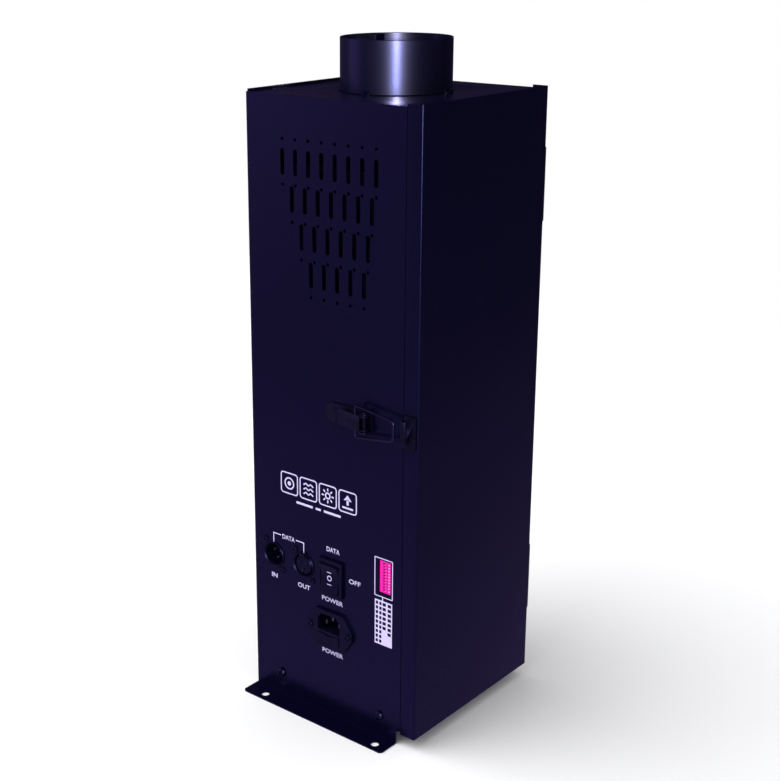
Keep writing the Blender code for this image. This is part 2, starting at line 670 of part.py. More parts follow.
def make_fan():
    """A square axial fan behind the vents."""
    x, z = FAN_CENTRE
    front, back = -79.8 * MM, -54.8 * MM
    half = FAN_SIZE / 2
    frame = prism("fan_frame", rounded_rect((x - half, z - half), (x + half, z + half), 4 * MM, 2), "Y", front, back)
    cut(frame, prism("throat", circle((x, z), 38.2 * MM, 32), "Y", front - MM, back + MM))
    struts = [prism("hub", circle((x, z), 17 * MM, 24), "Y", -58 * MM, back)]
    for turn in range(4):
        strut = block("strut", (15 * MM, -58 * MM, -1.5 * MM), (39 * MM, back, 1.5 * MM))
        strut.data.transform(Matrix.Rotation(math.radians(45 + 90 * turn), 4, "Y"))
        strut.data.transform(Matrix.Translation((x, 0, z)))
        struts.append(strut)
    union(frame, *struts)
    dressed(frame, "black_plastic")
    low, high, hub = -77 * MM, -59 * MM, 16.5 * MM
    rotor = lathe("fan_rotor", [(0, low), (15 * MM, low), (hub, low + 1.5 * MM), (hub, high), (0, high)],
                  "Y", (x, z), 24)
    blades = []
    section = [(15 * MM, -0.7 * MM), (37 * MM, -0.9 * MM), (37 * MM, 0.9 * MM), (15 * MM, 0.7 * MM)]
    for turn in range(7):
        blade = prism("blade", section, "Z", -7.5 * MM, 7.5 * MM)
        blade.data.transform(Matrix.Rotation(math.radians(52), 4, "X"))
        blade.data.transform(Matrix.Rotation(math.tau * turn / 7, 4, "Y"))
        blade.data.transform(Matrix.Translation((x, -68 * MM, z)))
        blades.append(blade)
    union(rotor, *blades)
    dressed(with_pivot(rotor, (x, -68 * MM, z)), "black_plastic")


def make_heater():
    """The cast heater on its legs, its nozzle under the chimney, its thermostat and the shroud round them."""
    y = CHIMNEY_Y
    low, high = 268 * MM, 430 * MM
    outline = rounded_rect((-38 * MM, y - 36 * MM), (38 * MM, y + 36 * MM), 6 * MM, 3)
    heater = prism("heater_block", outline, "Z", low, high)
    legs = [prism("leg", circle((u * 28 * MM, y + v * 26 * MM), 4 * MM, 10), "Z", SHELF_Z + LINING, low + MM)
            for u in (-1, 1) for v in (-1, 1)]
    union(heater, *legs)
    dressed(heater, "aluminium")
    base = high + GAP
    profile = [(0, base + 36 * MM), (3 * MM, base + 36 * MM), (7 * MM, base + 24 * MM), (7 * MM, base + 12 * MM)]
    profile += [(13 * MM, base + 12 * MM), (13 * MM, base), (0, base)]
    dressed(lathe("nozzle", profile, "Z", (0, y), 18), "bright_metal")
    disc = [(0, 38.3 * MM), (9 * MM, 38.3 * MM), (9 * MM, 42 * MM)]
    disc += [(5 * MM, 42 * MM), (5 * MM, 46 * MM), (0, 46 * MM)]
    dressed(lathe("thermostat", disc, "X", (y, 350 * MM), 18), "aluminium")
    shroud = block("heater_shroud", (-54 * MM, -52 * MM, SHELF_Z + LINING), (54 * MM, 47 * MM, 440 * MM))
    cut(shroud, block("inside", (-53 * MM, -51 * MM, SHELF_Z), (53 * MM, 46 * MM, 450 * MM)))
    dressed(shroud, "aluminium")


def make_bottle():
    """The fluid bottle, hollow down to its floor, and its screw cap with a hole for the tube."""
    x, y = BOTTLE_CENTRE
    wide, deep = BOTTLE_SIZE[0] / 2, BOTTLE_SIZE[1] / 2
    wall = 1.6 * MM
    neck_r, neck_top = 13 * MM, 199 * MM

    def layers(inset, low, shoulder, top):
        """Rings from the floor to the mouth, all with the same number of points."""
        corner = (x + wide - inset, y + deep - inset)
        body = rounded_rect((2 * x - corner[0], 2 * y - corner[1]), corner, 14 * MM - inset, 4)
        inner = [(x + (u - x) * 0.86, y + (v - y) * 0.86) for u, v in body]
        neck = []
        for u, v in body:
            reach = math.hypot(u - x, v - y)
            neck.append((x + (u - x) * (neck_r - inset) / reach, y + (v - y) * (neck_r - inset) / reach))
        return [(inner, low), (body, low + 4 * MM), (body, shoulder), (inner, shoulder + 7 * MM),
                (neck, shoulder + 14 * MM), (neck, top)]

    def shell(name, rings):
        bm = bmesh.new()
        rows = [[bm.verts.new((u, v, level)) for u, v in ring] for ring, level in rings]
        bm.faces.new(rows[0])
        bm.faces.new(rows[-1])
        for lower, upper in zip(rows, rows[1:]):
            for index in range(len(lower)):
                after = (index + 1) % len(lower)
                bm.faces.new((lower[index], lower[after], upper[after], upper[index]))
        return object_of(name, bm)

    bottle = shell("fluid_bottle", layers(0, BOTTLE_LOW, BOTTLE_SHOULDER, neck_top))
    cut(bottle, shell("hollow", layers(wall, BOTTLE_LOW + wall, BOTTLE_SHOULDER - wall, neck_top + 5 * MM)))
    dressed(bottle, "clear_plastic")
    low, top, outer, inner, hole = 187.5 * MM, 203 * MM, 16 * MM, 13.4 * MM, TUBE_R + 0.5 * MM
    profile = [(outer, low), (inner, low), (inner, neck_top + GAP), (hole, neck_top + GAP), (hole, top)]
    profile += [(outer - MM, top), (outer, top - MM)]
    cap = lathe("bottle_cap", profile, "Z", (x, y), 24)
    dressed(with_pivot(cap, (x, y, low)), "white_plastic")


def make_pump():
    """The solenoid pump: a square foot, a round body, and its inlet and outlet spouts on top."""
    x, y = PUMP_CENTRE
    pump = block("pump", (x - 20 * MM, y - 20 * MM, BOTTLE_LOW), (x + 20 * MM, y + 20 * MM, 22 * MM))
    union(pump, prism("body", circle((x, y), 17 * MM, 24), "Z", 21 * MM, 74 * MM),
          *(prism("spout", circle((x + s * 7 * MM, y), 3 * MM, 10), "Z", 73 * MM, 86 * MM) for s in (-1, 1)))
    dressed(pump, "bright_metal")


def make_tubes():
    """The feed tube from the bottle to the pump, and the delivery tube from the pump to the heater."""
    x, y = BOTTLE_CENTRE
    px, py = PUMP_CENTRE
    spout_top = 86 * MM + GAP
    feed = [(x, y, 20 * MM), (x, y, 120 * MM), (x, y, 180 * MM), (x, y, 206 * MM), (x, y, 220 * MM),
            (x + 18 * MM, y + 3 * MM, 238 * MM), (px - 28 * MM, py, 234 * MM), (px - 9 * MM, py, 205 * MM),
            (px - 7 * MM, py, 150 * MM), (px - 7 * MM, py, spout_top)]
    delivery = [(px + 7 * MM, py, spout_top), (px + 7 * MM, py, 150 * MM), (px + 5 * MM, py - 4 * MM, 205 * MM),
                (46 * MM, 25 * MM, 238 * MM), (46 * MM, 25 * MM, 262 * MM), (45.6 * MM, 14 * MM, 282 * MM),
                (44.0 * MM, 3 * MM, 290 * MM), (39.4 * MM, 0, 291 * MM)]
    for name, points in (("feed_tube", feed), ("delivery_tube", delivery)):
        dressed(tube(name, smooth_route(points, 5), TUBE_R, 1), "clear_plastic")


def make_boards():
    """The control board behind the address switches, and the power board on the rear panel."""
    control = block("control_board", (38 * MM, -74.3 * MM, 85 * MM), (68 * MM, -72.7 * MM, 175 * MM))
    union(control, block("processor", (46 * MM, -73 * MM, 100 * MM), (60 * MM, -70 * MM, 114 * MM)),
          block("terminals", (41 * MM, -73 * MM, 160 * MM), (65 * MM, -64 * MM, 170 * MM)))
    dressed(control, "circuit_board")
    power = block("power_board", (-50 * MM, 72 * MM, 290 * MM), (50 * MM, 73.6 * MM, 400 * MM))
    feet = [block("standoff", (u - 3 * MM, 73 * MM, v - 3 * MM), (u + 3 * MM, REAR - LINING, v + 3 * MM))
            for u in (-44 * MM, 44 * MM) for v in (296 * MM, 394 * MM)]
    union(power, *feet, block("transformer", (-42 * MM, 52 * MM, 300 * MM), (-6 * MM, 73 * MM, 340 * MM)),
          block("relay", (8 * MM, 56 * MM, 305 * MM), (24 * MM, 73 * MM, 333 * MM)),
          block("heat_sink", (-20 * MM, 54 * MM, 358 * MM), (34 * MM, 73 * MM, 386 * MM)))
    dressed(power, "circuit_board")


def main():
    clear_scene()
    make_panels()
    make_plates()
    make_chimney()
    make_door()
    make_hinges()
    make_case_screws()
    make_latch_base()
    make_latch_lever()
    make_latch_bail()
    make_latch_catch()
    make_latch_rivet()
    make_data_in()
    make_data_out()
    make_data_screws()
    make_rocker_switch()
    make_inlet()
    make_address_switches()
    make_fan()
    make_heater()
    make_bottle()
    make_pump()
    make_tubes()
    make_boards()


main()
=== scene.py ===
"""The looks of the fog machine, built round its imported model.

Lengths are in metres, in the model's own frame: +Z is up, the control panel faces -Y and the service door is
the +X side. Every operator makes or dresses one group of like pieces.
"""

import math

import bmesh
import bpy
from mathutils import Matrix, Vector


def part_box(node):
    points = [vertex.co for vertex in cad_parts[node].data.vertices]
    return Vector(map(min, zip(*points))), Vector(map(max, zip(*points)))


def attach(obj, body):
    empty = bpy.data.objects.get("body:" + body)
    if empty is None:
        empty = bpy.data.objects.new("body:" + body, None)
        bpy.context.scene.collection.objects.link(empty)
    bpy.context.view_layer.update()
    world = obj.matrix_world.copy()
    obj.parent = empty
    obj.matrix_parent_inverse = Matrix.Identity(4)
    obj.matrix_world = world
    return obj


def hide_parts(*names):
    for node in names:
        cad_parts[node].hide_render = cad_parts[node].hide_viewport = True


bl_info = {
    "name": "Fog machine looks",
    "version": (1, 0, 0),
    "blender": (4, 5, 0),
    "location": "View3D > Sidebar > Fog machine",
    "description": "Builds the visible pieces, finishes and stage of a tower fog machine",
    "category": "Object",
}

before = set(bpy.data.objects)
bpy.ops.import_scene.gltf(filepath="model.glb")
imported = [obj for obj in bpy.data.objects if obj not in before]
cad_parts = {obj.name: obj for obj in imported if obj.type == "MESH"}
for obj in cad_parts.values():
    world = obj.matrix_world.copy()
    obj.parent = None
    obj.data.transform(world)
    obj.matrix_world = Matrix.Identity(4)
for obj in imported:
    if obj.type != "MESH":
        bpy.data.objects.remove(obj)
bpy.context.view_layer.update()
MM = 0.001


def side_of(node, axis, end):
    """One side of a node's box: axis 0 to 2, and end 0 for the low side or 1 for the high side."""
    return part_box(node)[end][axis]


def middle_of(node):
    low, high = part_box(node)
    return (low + high) / 2


# Places that several pieces share. All but the foot's right end are read from the frame.
LEFT = side_of("left_panel", 0, 0)
RIGHT = side_of("door", 0, 1)
FRONT = side_of("door", 1, 0)
REAR = side_of("door", 1, 1)
FOOT_RIGHT = 67.1 * MM
SEAM_X = side_of("front_panel", 0, 1)
PANEL_TOP = side_of("front_panel", 2, 1)
DOOR_LOW = side_of("door", 2, 0)
DOOR_TOP = side_of("door", 2, 1)
SHEET = side_of("left_panel", 0, 1) - LEFT
INK_FACE = FRONT - 0.07 * MM
INK_BACK = FRONT - 0.005 * MM
PLAIN_SHEETS = ("rear_panel", "left_panel", "top_plate", "base_tray", "heater_shelf")


# ---- Settings ----


def length_property(name, description, default):
    return bpy.props.FloatProperty(
        name=name, description=description, default=default, unit="LENGTH", precision=5
    )


def number_property(name, description, default):
    return bpy.props.FloatProperty(name=name, description=description, default=default)


def colour_property(name, description, default):
    return bpy.props.FloatVectorProperty(
        name=name, description=description, default=default, size=3, subtype="COLOR", min=0.0, max=1.0
    )


class FogSizes(bpy.types.PropertyGroup):
    """Small sizes that shape the edges and the print."""

    bend: length_property("Bend radius", "Outer radius where the sheet metal is folded", 1.5 * MM)
    edge: length_property("Edge radius", "Rounding of cut sheet and moulded edges", 0.25 * MM)
    letter: length_property("Letter height", "Height of the capitals on the control panel", 4.2 * MM)
    stroke: length_property("Printed stroke", "Width of the printed lines", 0.9 * MM)
    vent_width: length_property("Vent width", "Width of one vent slot", 4.0 * MM)
    vent_length: length_property("Vent length", "Length of one vent slot", 20.7 * MM)


class FogColours(bpy.types.PropertyGroup):
    """Base colours of the finishes."""

    case: colour_property("Case", "Powder coat of the sheet metal", (0.0010, 0.0009, 0.010))
    moulding: colour_property("Moulding", "Black plastic of the controls", (0.0022, 0.0019, 0.012))
    steel: colour_property("Blackened steel", "Latch, hinges and screws", (0.003, 0.0025, 0.009))
    wire: colour_property("Wire", "Plated wire of the latch's loop", (0.06, 0.055, 0.10))
    red: colour_property("Red", "Body of the address switches", (0.97, 0.0005, 0.44))
    slider: colour_property("Sliders", "Address sliders", (0.92, 0.06, 0.58))
    ink: colour_property("Ink", "Screen print", (0.66, 0.59, 0.92))
    plating: colour_property("Plating", "Contacts and nozzle", (0.26, 0.24, 0.27))
    casting: colour_property("Casting", "Heater block and its shroud", (0.06, 0.055, 0.07))
    bottle: colour_property("Bottle", "Fluid bottle and tubes", (0.78, 0.82, 0.84))
    cap: colour_property("Cap", "Bottle cap", (0.75, 0.73, 0.7))
    board: colour_property("Board", "Circuit boards", (0.012, 0.09, 0.03))


class FogStage(bpy.types.PropertyGroup):
    """Camera and lights."""

    lens: number_property("Lens", "Focal length in millimetres", 64.0)
    sun: number_property("Key", "Strength of the soft key light", 2.3)
    fill: number_property("Fill", "Strength of the fill from all round", 0.7)
    window: number_property("Window", "Reflected light from the left", 3.2)
    strip: number_property("Strip", "Power of the low strip light", 21.0)
    high_strip: number_property("High strip", "Power of the strip that lights only the chimney", 240.0)
    room: colour_property("Room", "Light that the room gives from all round", (0.12, 0.085, 0.22))
    floor: colour_property("Floor", "Colour of the floor", (0.92, 0.92, 0.93))


def sizes():
    return bpy.context.scene.fog_sizes


def colours():
    return bpy.context.scene.fog_colours


def stage_settings():
    return bpy.context.scene.fog_stage


# ---- Shader building ----


class Wire:
    """A shader socket. Python's operators on it add Math nodes."""

    def __init__(self, tree, socket):
        self.tree = tree
        self.socket = socket

    def math(self, operation, *operands):
        node = self.tree.nodes.new("ShaderNodeMath")
        node.operation = operation
        for slot, operand in zip(node.inputs, operands):
            if isinstance(operand, Wire):
                self.tree.links.new(operand.socket, slot)
            else:
                slot.default_value = operand
        return Wire(self.tree, node.outputs[0])

    def __add__(self, other):
        return self.math("ADD", self, other)

    def __radd__(self, other):
        return self.math("ADD", other, self)

    def __sub__(self, other):
        return self.math("SUBTRACT", self, other)

    def __rsub__(self, other):
        return self.math("SUBTRACT", other, self)

    def __mul__(self, other):
        return self.math("MULTIPLY", self, other)

    def __rmul__(self, other):
        return self.math("MULTIPLY", other, self)

    def above(self, limit, softness):
        """0 below the limit and 1 above it, with a soft step between them."""
        shifted = (self - limit) * (1 / softness) + 0.5
        return shifted.math("MINIMUM", shifted.math("MAXIMUM", shifted, 0.0), 1.0)


class Finish:
    """A material in the making, round one Principled shader."""

    def __init__(self, name, colour, **constants):
        self.material = bpy.data.materials.new(name)
        self.material.use_nodes = True
        self.tree = self.material.node_tree
        self.shader = self.tree.nodes["Principled BSDF"]
        self.shader.inputs["Base Color"].default_value = (*colour, 1.0)
        self.colour = colour
        for socket, value in constants.items():
            self.shader.inputs[socket.replace("_", " ").title().replace("Ior", "IOR")].default_value = value

    def node(self, kind, settings=None, inputs=None):
        """Adds a node: its settings first, then the values or wires of its sockets."""
        made = self.tree.nodes.new(kind)
        for name, value in (settings or {}).items():
            setattr(made, name, value)
        for name, value in (inputs or {}).items():
            if isinstance(value, Wire):
                self.tree.links.new(value.socket, made.inputs[name])
            else:
                made.inputs[name].default_value = value
        return made

    def place(self, stretch=(1.0, 1.0, 1.0)):
        """The point on the piece, in metres, stretched along its axes."""
        point = Wire(self.tree, self.node("ShaderNodeTexCoord").outputs["Object"])
        mapping = self.node("ShaderNodeMapping", {}, {"Vector": point, "Scale": stretch})
        return Wire(self.tree, mapping.outputs["Vector"])

    def noise(self, scale, detail=2.0, stretch=(1.0, 1.0, 1.0)):
        inputs = {"Vector": self.place(stretch), "Scale": scale, "Detail": detail}
        return Wire(self.tree, self.node("ShaderNodeTexNoise", {}, inputs).outputs["Fac"])

    def specks(self, scale):
        """Distance to the nearest of many scattered points."""
        made = self.node("ShaderNodeTexVoronoi", {}, {"Vector": self.place(), "Scale": scale})
        return Wire(self.tree, made.outputs["Distance"])

    def tint(self, mask, other):
        """Mixes another base colour in where the mask is 1."""
        mix = self.node("ShaderNodeMix", {"data_type": "RGBA"}, {"Factor": mask})
        mixed = [socket for socket in mix.inputs if socket.type == "RGBA"]
        base = self.shader.inputs["Base Color"]
        if base.is_linked:
            self.tree.links.new(base.links[0].from_socket, mixed[0])
        else:
            mixed[0].default_value = (*self.colour, 1.0)
        mixed[1].default_value = (*other, 1.0)
        output = next(socket for socket in mix.outputs if socket.type == "RGBA")
        self.tree.links.new(output, base)

    def sheen(self, tint, level=0.5):
        """Colours the reflections, and sets how strong they are."""
        self.shader.inputs["Specular Tint"].default_value = (*tint, 1.0)
        self.shader.inputs["Specular IOR Level"].default_value = level

    def drive(self, socket, wire):
        self.tree.links.new(wire.socket, self.shader.inputs[socket])

    def bump(self, height, distance, strength=1.0):
        made = self.node("ShaderNodeBump", {}, {"Height": height, "Distance": distance, "Strength": strength})
        self.tree.links.new(made.outputs["Normal"], self.shader.inputs["Normal"])
        return self


VIOLET = (0.6, 0.52, 1.0)


def powder_coat():
    """Fine satin powder coat: orange-peel ripple, a violet-blue sheen and faint handling marks."""
    finish = Finish("powder_coat", colours().case, roughness=0.36, ior=1.5)
    finish.sheen((0.52, 0.49, 1.0))
    cloud = finish.noise(9.0, 3.0)
    grain = finish.noise(2600.0, 2.0)
    peel = finish.noise(700.0, 2.0)
    smears = finish.noise(30.0, 4.0, (1.0, 1.0, 0.25))
    finish.tint(cloud.above(0.55, 0.5) * 0.5, (0.0022, 0.0017, 0.014))
    finish.tint(grain.above(0.66, 0.12) * 0.3, (0.008, 0.007, 0.02))
    finish.drive("Roughness", 0.16 + cloud * 0.06 + smears * 0.08 + grain * 0.05)
    return finish.bump(peel * 0.7 + grain * 0.3, 0.00006, 0.5).material


def moulded_black():
    """Black plastic with a fine moulded grain and a few paler rubs."""
    finish = Finish("moulded_black", colours().moulding, roughness=0.36, ior=1.5)
    finish.sheen(VIOLET, 0.3)
    grain = finish.noise(3200.0, 1.0)
    wear = finish.noise(60.0, 4.0)
    finish.tint(wear.above(0.6, 0.3) * 0.4, (0.005, 0.004, 0.014))
    finish.drive("Roughness", 0.28 + wear * 0.12 + grain * 0.06)
    return finish.bump(grain, 0.00004, 0.4).material


def dark_steel():
    """Blackened steel, brighter where it has been rubbed."""
    finish = Finish("dark_steel", colours().steel, roughness=0.34)
    finish.sheen(VIOLET, 0.3)
    rub = finish.noise(180.0, 4.0, (1.0, 1.0, 3.0))
    grain = finish.noise(1800.0, 2.0)
    finish.tint(rub.above(0.62, 0.16) * 0.6, (0.010, 0.009, 0.024))
    finish.drive("Roughness", 0.24 + rub * 0.2)
    return finish.bump(grain, 0.00003, 0.5).material


def plated(name, colour, roughness):
    """Plated metal with faint drawing lines."""
    finish = Finish(name, colour, metallic=1.0, roughness=roughness)
    lines = finish.noise(900.0, 3.0, (1.0, 1.0, 0.08))
    stain = finish.noise(120.0, 3.0)
    finish.tint(stain.above(0.6, 0.3) * 0.35, tuple(0.55 * part for part in colour))
    finish.drive("Roughness", roughness - 0.06 + lines * 0.14)
    return finish.bump(lines, 0.00002, 0.4).material


def casting():
    """Sand-cast and rolled aluminium, browned a little by heat."""
    finish = Finish("casting", colours().casting, metallic=0.9, roughness=0.45)
    grit = finish.noise(900.0, 4.0)
    stain = finish.noise(22.0, 4.0)
    finish.tint(stain.above(0.52, 0.3) * 0.5, (0.032, 0.026, 0.028))
    finish.drive("Roughness", 0.34 + grit * 0.2)
    return finish.bump(grit, 0.0002, 0.5).material


def moulded(name, colour, roughness, shade=0.7):
    """Coloured plastic with a fine grain and slightly uneven colour."""
    finish = Finish(name, colour, roughness=roughness, ior=1.48)
    uneven = finish.noise(240.0, 3.0)
    grain = finish.noise(2600.0, 1.0)
    finish.tint(uneven.above(0.5, 0.5) * 0.35, tuple(shade * part for part in colour))
    finish.drive("Roughness", roughness - 0.05 + grain * 0.1)
    return finish.bump(grain, 0.00003, 0.4).material


def translucent():
    """Milky polythene, seen through a little."""
    finish = Finish("translucent", colours().bottle, roughness=0.32, ior=1.5)
    finish.shader.inputs["Transmission Weight"].default_value = 0.35
    milk = finish.noise(40.0, 3.0)
    finish.drive("Roughness", 0.26 + milk * 0.14)
    finish.tint(milk.above(0.5, 0.4) * 0.3, (0.66, 0.72, 0.76))
    return finish.bump(milk, 0.0002, 0.3).material


def solder_mask():
    """Green solder mask with paler tracks."""
    finish = Finish("solder_mask", colours().board, roughness=0.4)
    cells = finish.specks(260.0)
    finish.tint(cells.above(0.42, 0.06) * 0.6, (0.03, 0.2, 0.07))
    finish.drive("Roughness", 0.34 + cells * 0.2)
    return finish.bump(cells.above(0.42, 0.06), 0.00003, 0.5).material


def matt_black():
    """Dull black plastic; at the chimney's foot, a ring of it paints the shade line where the tube meets the
    plate.
    """
    finish = Finish("matt_black", (0.0008, 0.0007, 0.003), roughness=0.8)
    finish.sheen(VIOLET, 0.08)
    lumps = finish.noise(400.0, 3.0)
    finish.drive("Roughness", 0.75 + lumps * 0.15)
    return finish.bump(lumps, 0.0002, 0.6).material


def screen_print():
    """Opaque ink that breaks up slightly over the coat's ripple."""
    finish = Finish("screen_print", colours().ink, roughness=0.5)
    grain = finish.noise(1500.0, 3.0)
    finish.tint(grain.above(0.66, 0.1) * 0.5, (0.42, 0.38, 0.55))
    finish.drive("Roughness", 0.42 + grain * 0.15)
    return finish.bump(grain, 0.00002, 0.5).material


# The record slot that each finish fills, and what makes it.
FINISHES = {
    "powder_coat": ("black_powder_coat", powder_coat),
    "moulded_black": ("black_plastic", moulded_black),
    "dark_steel": ("blackened_steel", dark_steel),
    "wire": ("bright_metal", lambda: plated("wire", colours().wire, 0.3)),
    "plating": ("bright_metal", lambda: plated("plating", colours().plating, 0.28)),
    "casting": ("aluminium", casting),
    "red": ("red_plastic", lambda: moulded("red", colours().red, 0.35)),
    "slider": ("white_plastic", lambda: moulded("slider", colours().slider, 0.4, 0.85)),
    "cap": ("white_plastic", lambda: moulded("cap", colours().cap, 0.42, 0.9)),
    "translucent": ("clear_plastic", translucent),
    "solder_mask": ("circuit_board", solder_mask),
    "matt_black": ("black_plastic", matt_black),
    "screen_print": ("white_ink", screen_print),
}


def dress(obj, finish):
    """Gives a piece its finish."""
    slot, make = FINISHES[finish]
    material = bpy.data.materials.get(finish) or make()
    obj.data.materials.clear()
    obj.data.materials.append(material)
    return obj


# ---- Mesh building ----


def placed(axis, along, u, v):
    """The 3-D point at a distance along an axis and at (u, v) on the plane across it."""
    return {"X": (along, u, v), "Y": (u, along, v), "Z": (u, v, along)}[axis]


def linked(name, data):
    """An object that holds some data, put in the scene."""
    obj = bpy.data.objects.new(name, data)
    bpy.context.scene.collection.objects.link(obj)
    return obj


def evaluated_mesh(obj):
    """The mesh that an object's modifiers, curve or text make."""
    bpy.context.view_layer.update()
    graph = bpy.context.evaluated_depsgraph_get()
    return bpy.data.meshes.new_from_object(obj.evaluated_get(graph))


def filled(name, bm):
    """A linked object with a bmesh's shape; the bmesh is freed."""
    mesh = bpy.data.meshes.new(name)
    bm.to_mesh(mesh)
    bm.free()
    return linked(name, mesh)


def object_of(name, bm):
    bmesh.ops.recalc_face_normals(bm, faces=bm.faces)
    return filled(name, bm)


def prisms(name, outlines, axis, low, high):
    """Closed outlines, each extruded along an axis from low to high, in one object."""
    bm = bmesh.new()
    for outline in outlines:
        ends = [[bm.verts.new(placed(axis, along, u, v)) for u, v in outline] for along in (low, high)]
        bm.faces.new(ends[0])
        bm.faces.new(ends[1][::-1])
        for index in range(len(outline)):
            after = (index + 1) % len(outline)
            bm.faces.new((ends[0][after], ends[0][index], ends[1][index], ends[1][after]))
    return object_of(name, bm)


def prism(name, outline, axis, low, high):
    return prisms(name, [outline], axis, low, high)


def rect(low_u, low_v, high_u, high_v):
    return [(low_u, low_v), (high_u, low_v), (high_u, high_v), (low_u, high_v)]


def block(name, low, high):
    return prism(name, rect(low[0], low[1], high[0], high[1]), "Z", low[2], high[2])


def plug(name, centre, sides, front, back):
    """A block seen from the front: left, low, right and high about a centre, in millimetres."""
    x, z = centre
    left, low, right, high = (side * MM for side in sides)
    return block(name, (x + left, front, z + low), (x + right, back, z + high))


def steps_from(start, steps):
    """Points of a lathe profile: a radius and a distance from the start for each, in millimetres."""
    return [(radius * MM, start + along * MM) for radius, along in steps]


def arc(centre, radius, start, end, steps):
    """Points on an arc between two angles in degrees."""
    angles = (math.radians(start + (end - start) * step / steps) for step in range(steps + 1))
    return [(centre[0] + radius * math.cos(a), centre[1] + radius * math.sin(a)) for a in angles]


def circle(centre, radius, steps):
    return arc(centre, radius, 0, 360, steps)[:-1]


def upright_slot(centre, length, width, steps):
    radius = width / 2
    rise = length / 2 - radius
    top = arc((centre[0], centre[1] + rise), radius, 0, 180, steps)
    return top + arc((centre[0], centre[1] - rise), radius, 180, 360, steps)


def rounded_rect(low, high, radius, steps=4):
    corners = ((high[0], high[1], 0), (low[0], high[1], 90), (low[0], low[1], 180), (high[0], low[1], 270))
    points = []
    for u, v, start in corners:
        side_u = radius if u == low[0] else -radius
        side_v = radius if v == low[1] else -radius
        points += arc((u + side_u, v + side_v), radius, start, start + 90, steps)
    return points


def face_of(node, radius):
    """The outline of a node's box seen from the front, with round corners."""
    low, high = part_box(node)
    return rounded_rect((low[0], low[2]), (high[0], high[2]), radius)


def about(centre, points):
    return [(centre[0] + u, centre[1] + v) for u, v in points]


def lathe(name, profile, axis, centre, steps):
    """A profile of (radius, place along the axis) points turned about an axis; a radius of 0 is a pole."""
    bm = bmesh.new()
    rings = []
    for radius, along in profile:
        turns = steps if radius else 1
        angles = [math.tau * step / steps for step in range(turns)]
        ring = [(centre[0] + radius * math.cos(a), centre[1] + radius * math.sin(a)) for a in angles]
        rings.append([bm.verts.new(placed(axis, along, u, v)) for u, v in ring])
    pairs = list(zip(rings, rings[1:]))
    if profile[0][0]:
        pairs.append((rings[-1], rings[0]))
    for upper, lower in pairs:
        for step in range(steps):
            after = (step + 1) % steps
            corners = [upper[step % len(upper)], upper[after % len(upper)]]
            corners += [lower[after % len(lower)], lower[step % len(lower)]]
            bm.faces.new(list(dict.fromkeys(corners)))
    return object_of(name, bm)


def applied(obj):
    """Puts what the object's modifiers make into its mesh."""
    made = evaluated_mesh(obj)
    obj.modifiers.clear()
    obj.data = made
    made.name = obj.name
    return obj


def combine(target, operation, tools):
    """Applies one Boolean for each tool to the target's mesh, and removes the tools."""
    for tool in tools:
        modifier = target.modifiers.new("combine", "BOOLEAN")
        modifier.operation = operation
        modifier.solver = "EXACT"
        modifier.object = tool
    applied(target)
    for tool in tools:
        bpy.data.objects.remove(tool, do_unlink=True)
    return target


def union(target, *tools):
    return combine(target, "UNION", tools)


def cut(target, *tools):
    return combine(target, "DIFFERENCE", tools)


def joined(name, pieces):
    """Puts several objects' meshes into one object."""
    bm = bmesh.new()
    for piece in pieces:
        piece.data.transform(piece.matrix_world)
        bm.from_mesh(piece.data)
        bpy.data.objects.remove(piece, do_unlink=True)
    return filled(name, bm)


def soften(obj, width, segments=2, angle=35):
    """Rounds sharp edges and shades the faces smooth between them."""
    weld = obj.modifiers.new("weld", "WELD")
    weld.merge_threshold = 0.000005
    bevel = obj.modifiers.new("edges", "BEVEL")
    bevel.width = width
    bevel.segments = segments
    bevel.limit_method = "ANGLE"
    bevel.angle_limit = math.radians(angle)
    bevel.harden_normals = True
    obj.data.shade_smooth()
    return obj


def smooth(obj, angle=35):
    obj.data.shade_smooth()
    obj.data.set_sharp_from_angle(angle=math.radians(angle))
    return obj


def tube(name, points, radius, resolution=4):
    """A round wire through a list of points, with closed ends."""
    curve = bpy.data.curves.new(name, "CURVE")
    curve.dimensions = "3D"
    curve.bevel_depth = radius
    curve.bevel_resolution = resolution
    curve.use_fill_caps = True
    spline = curve.splines.new("POLY")
    spline.points.add(len(points) - 1)
    for place, point in zip(spline.points, points):
        place.co = (*point, 1.0)
    wire = linked(name, curve)
    mesh = evaluated_mesh(wire)
    bpy.data.objects.remove(wire, do_unlink=True)
    bm = bmesh.new()
    bm.from_mesh(mesh)
    bmesh.ops.remove_doubles(bm, verts=bm.verts, dist=1e-6)
    return object_of(name, bm)


def settle(obj, finish, body, *nodes):
    """Dresses a piece, rides it on its body and lets it stand for its nodes."""
    dress(obj, finish)
    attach(obj, body)
    if nodes:
        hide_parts(*nodes)
    return obj


def dress_node(node, finish, width=None, segments=2):
    """Dresses a node that keeps its own shape, with its edges rounded where a width is given."""
    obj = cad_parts[node]
    dress(obj, finish)
    if width:
        soften(obj, width, segments)
    return obj


# ---- Pieces ----


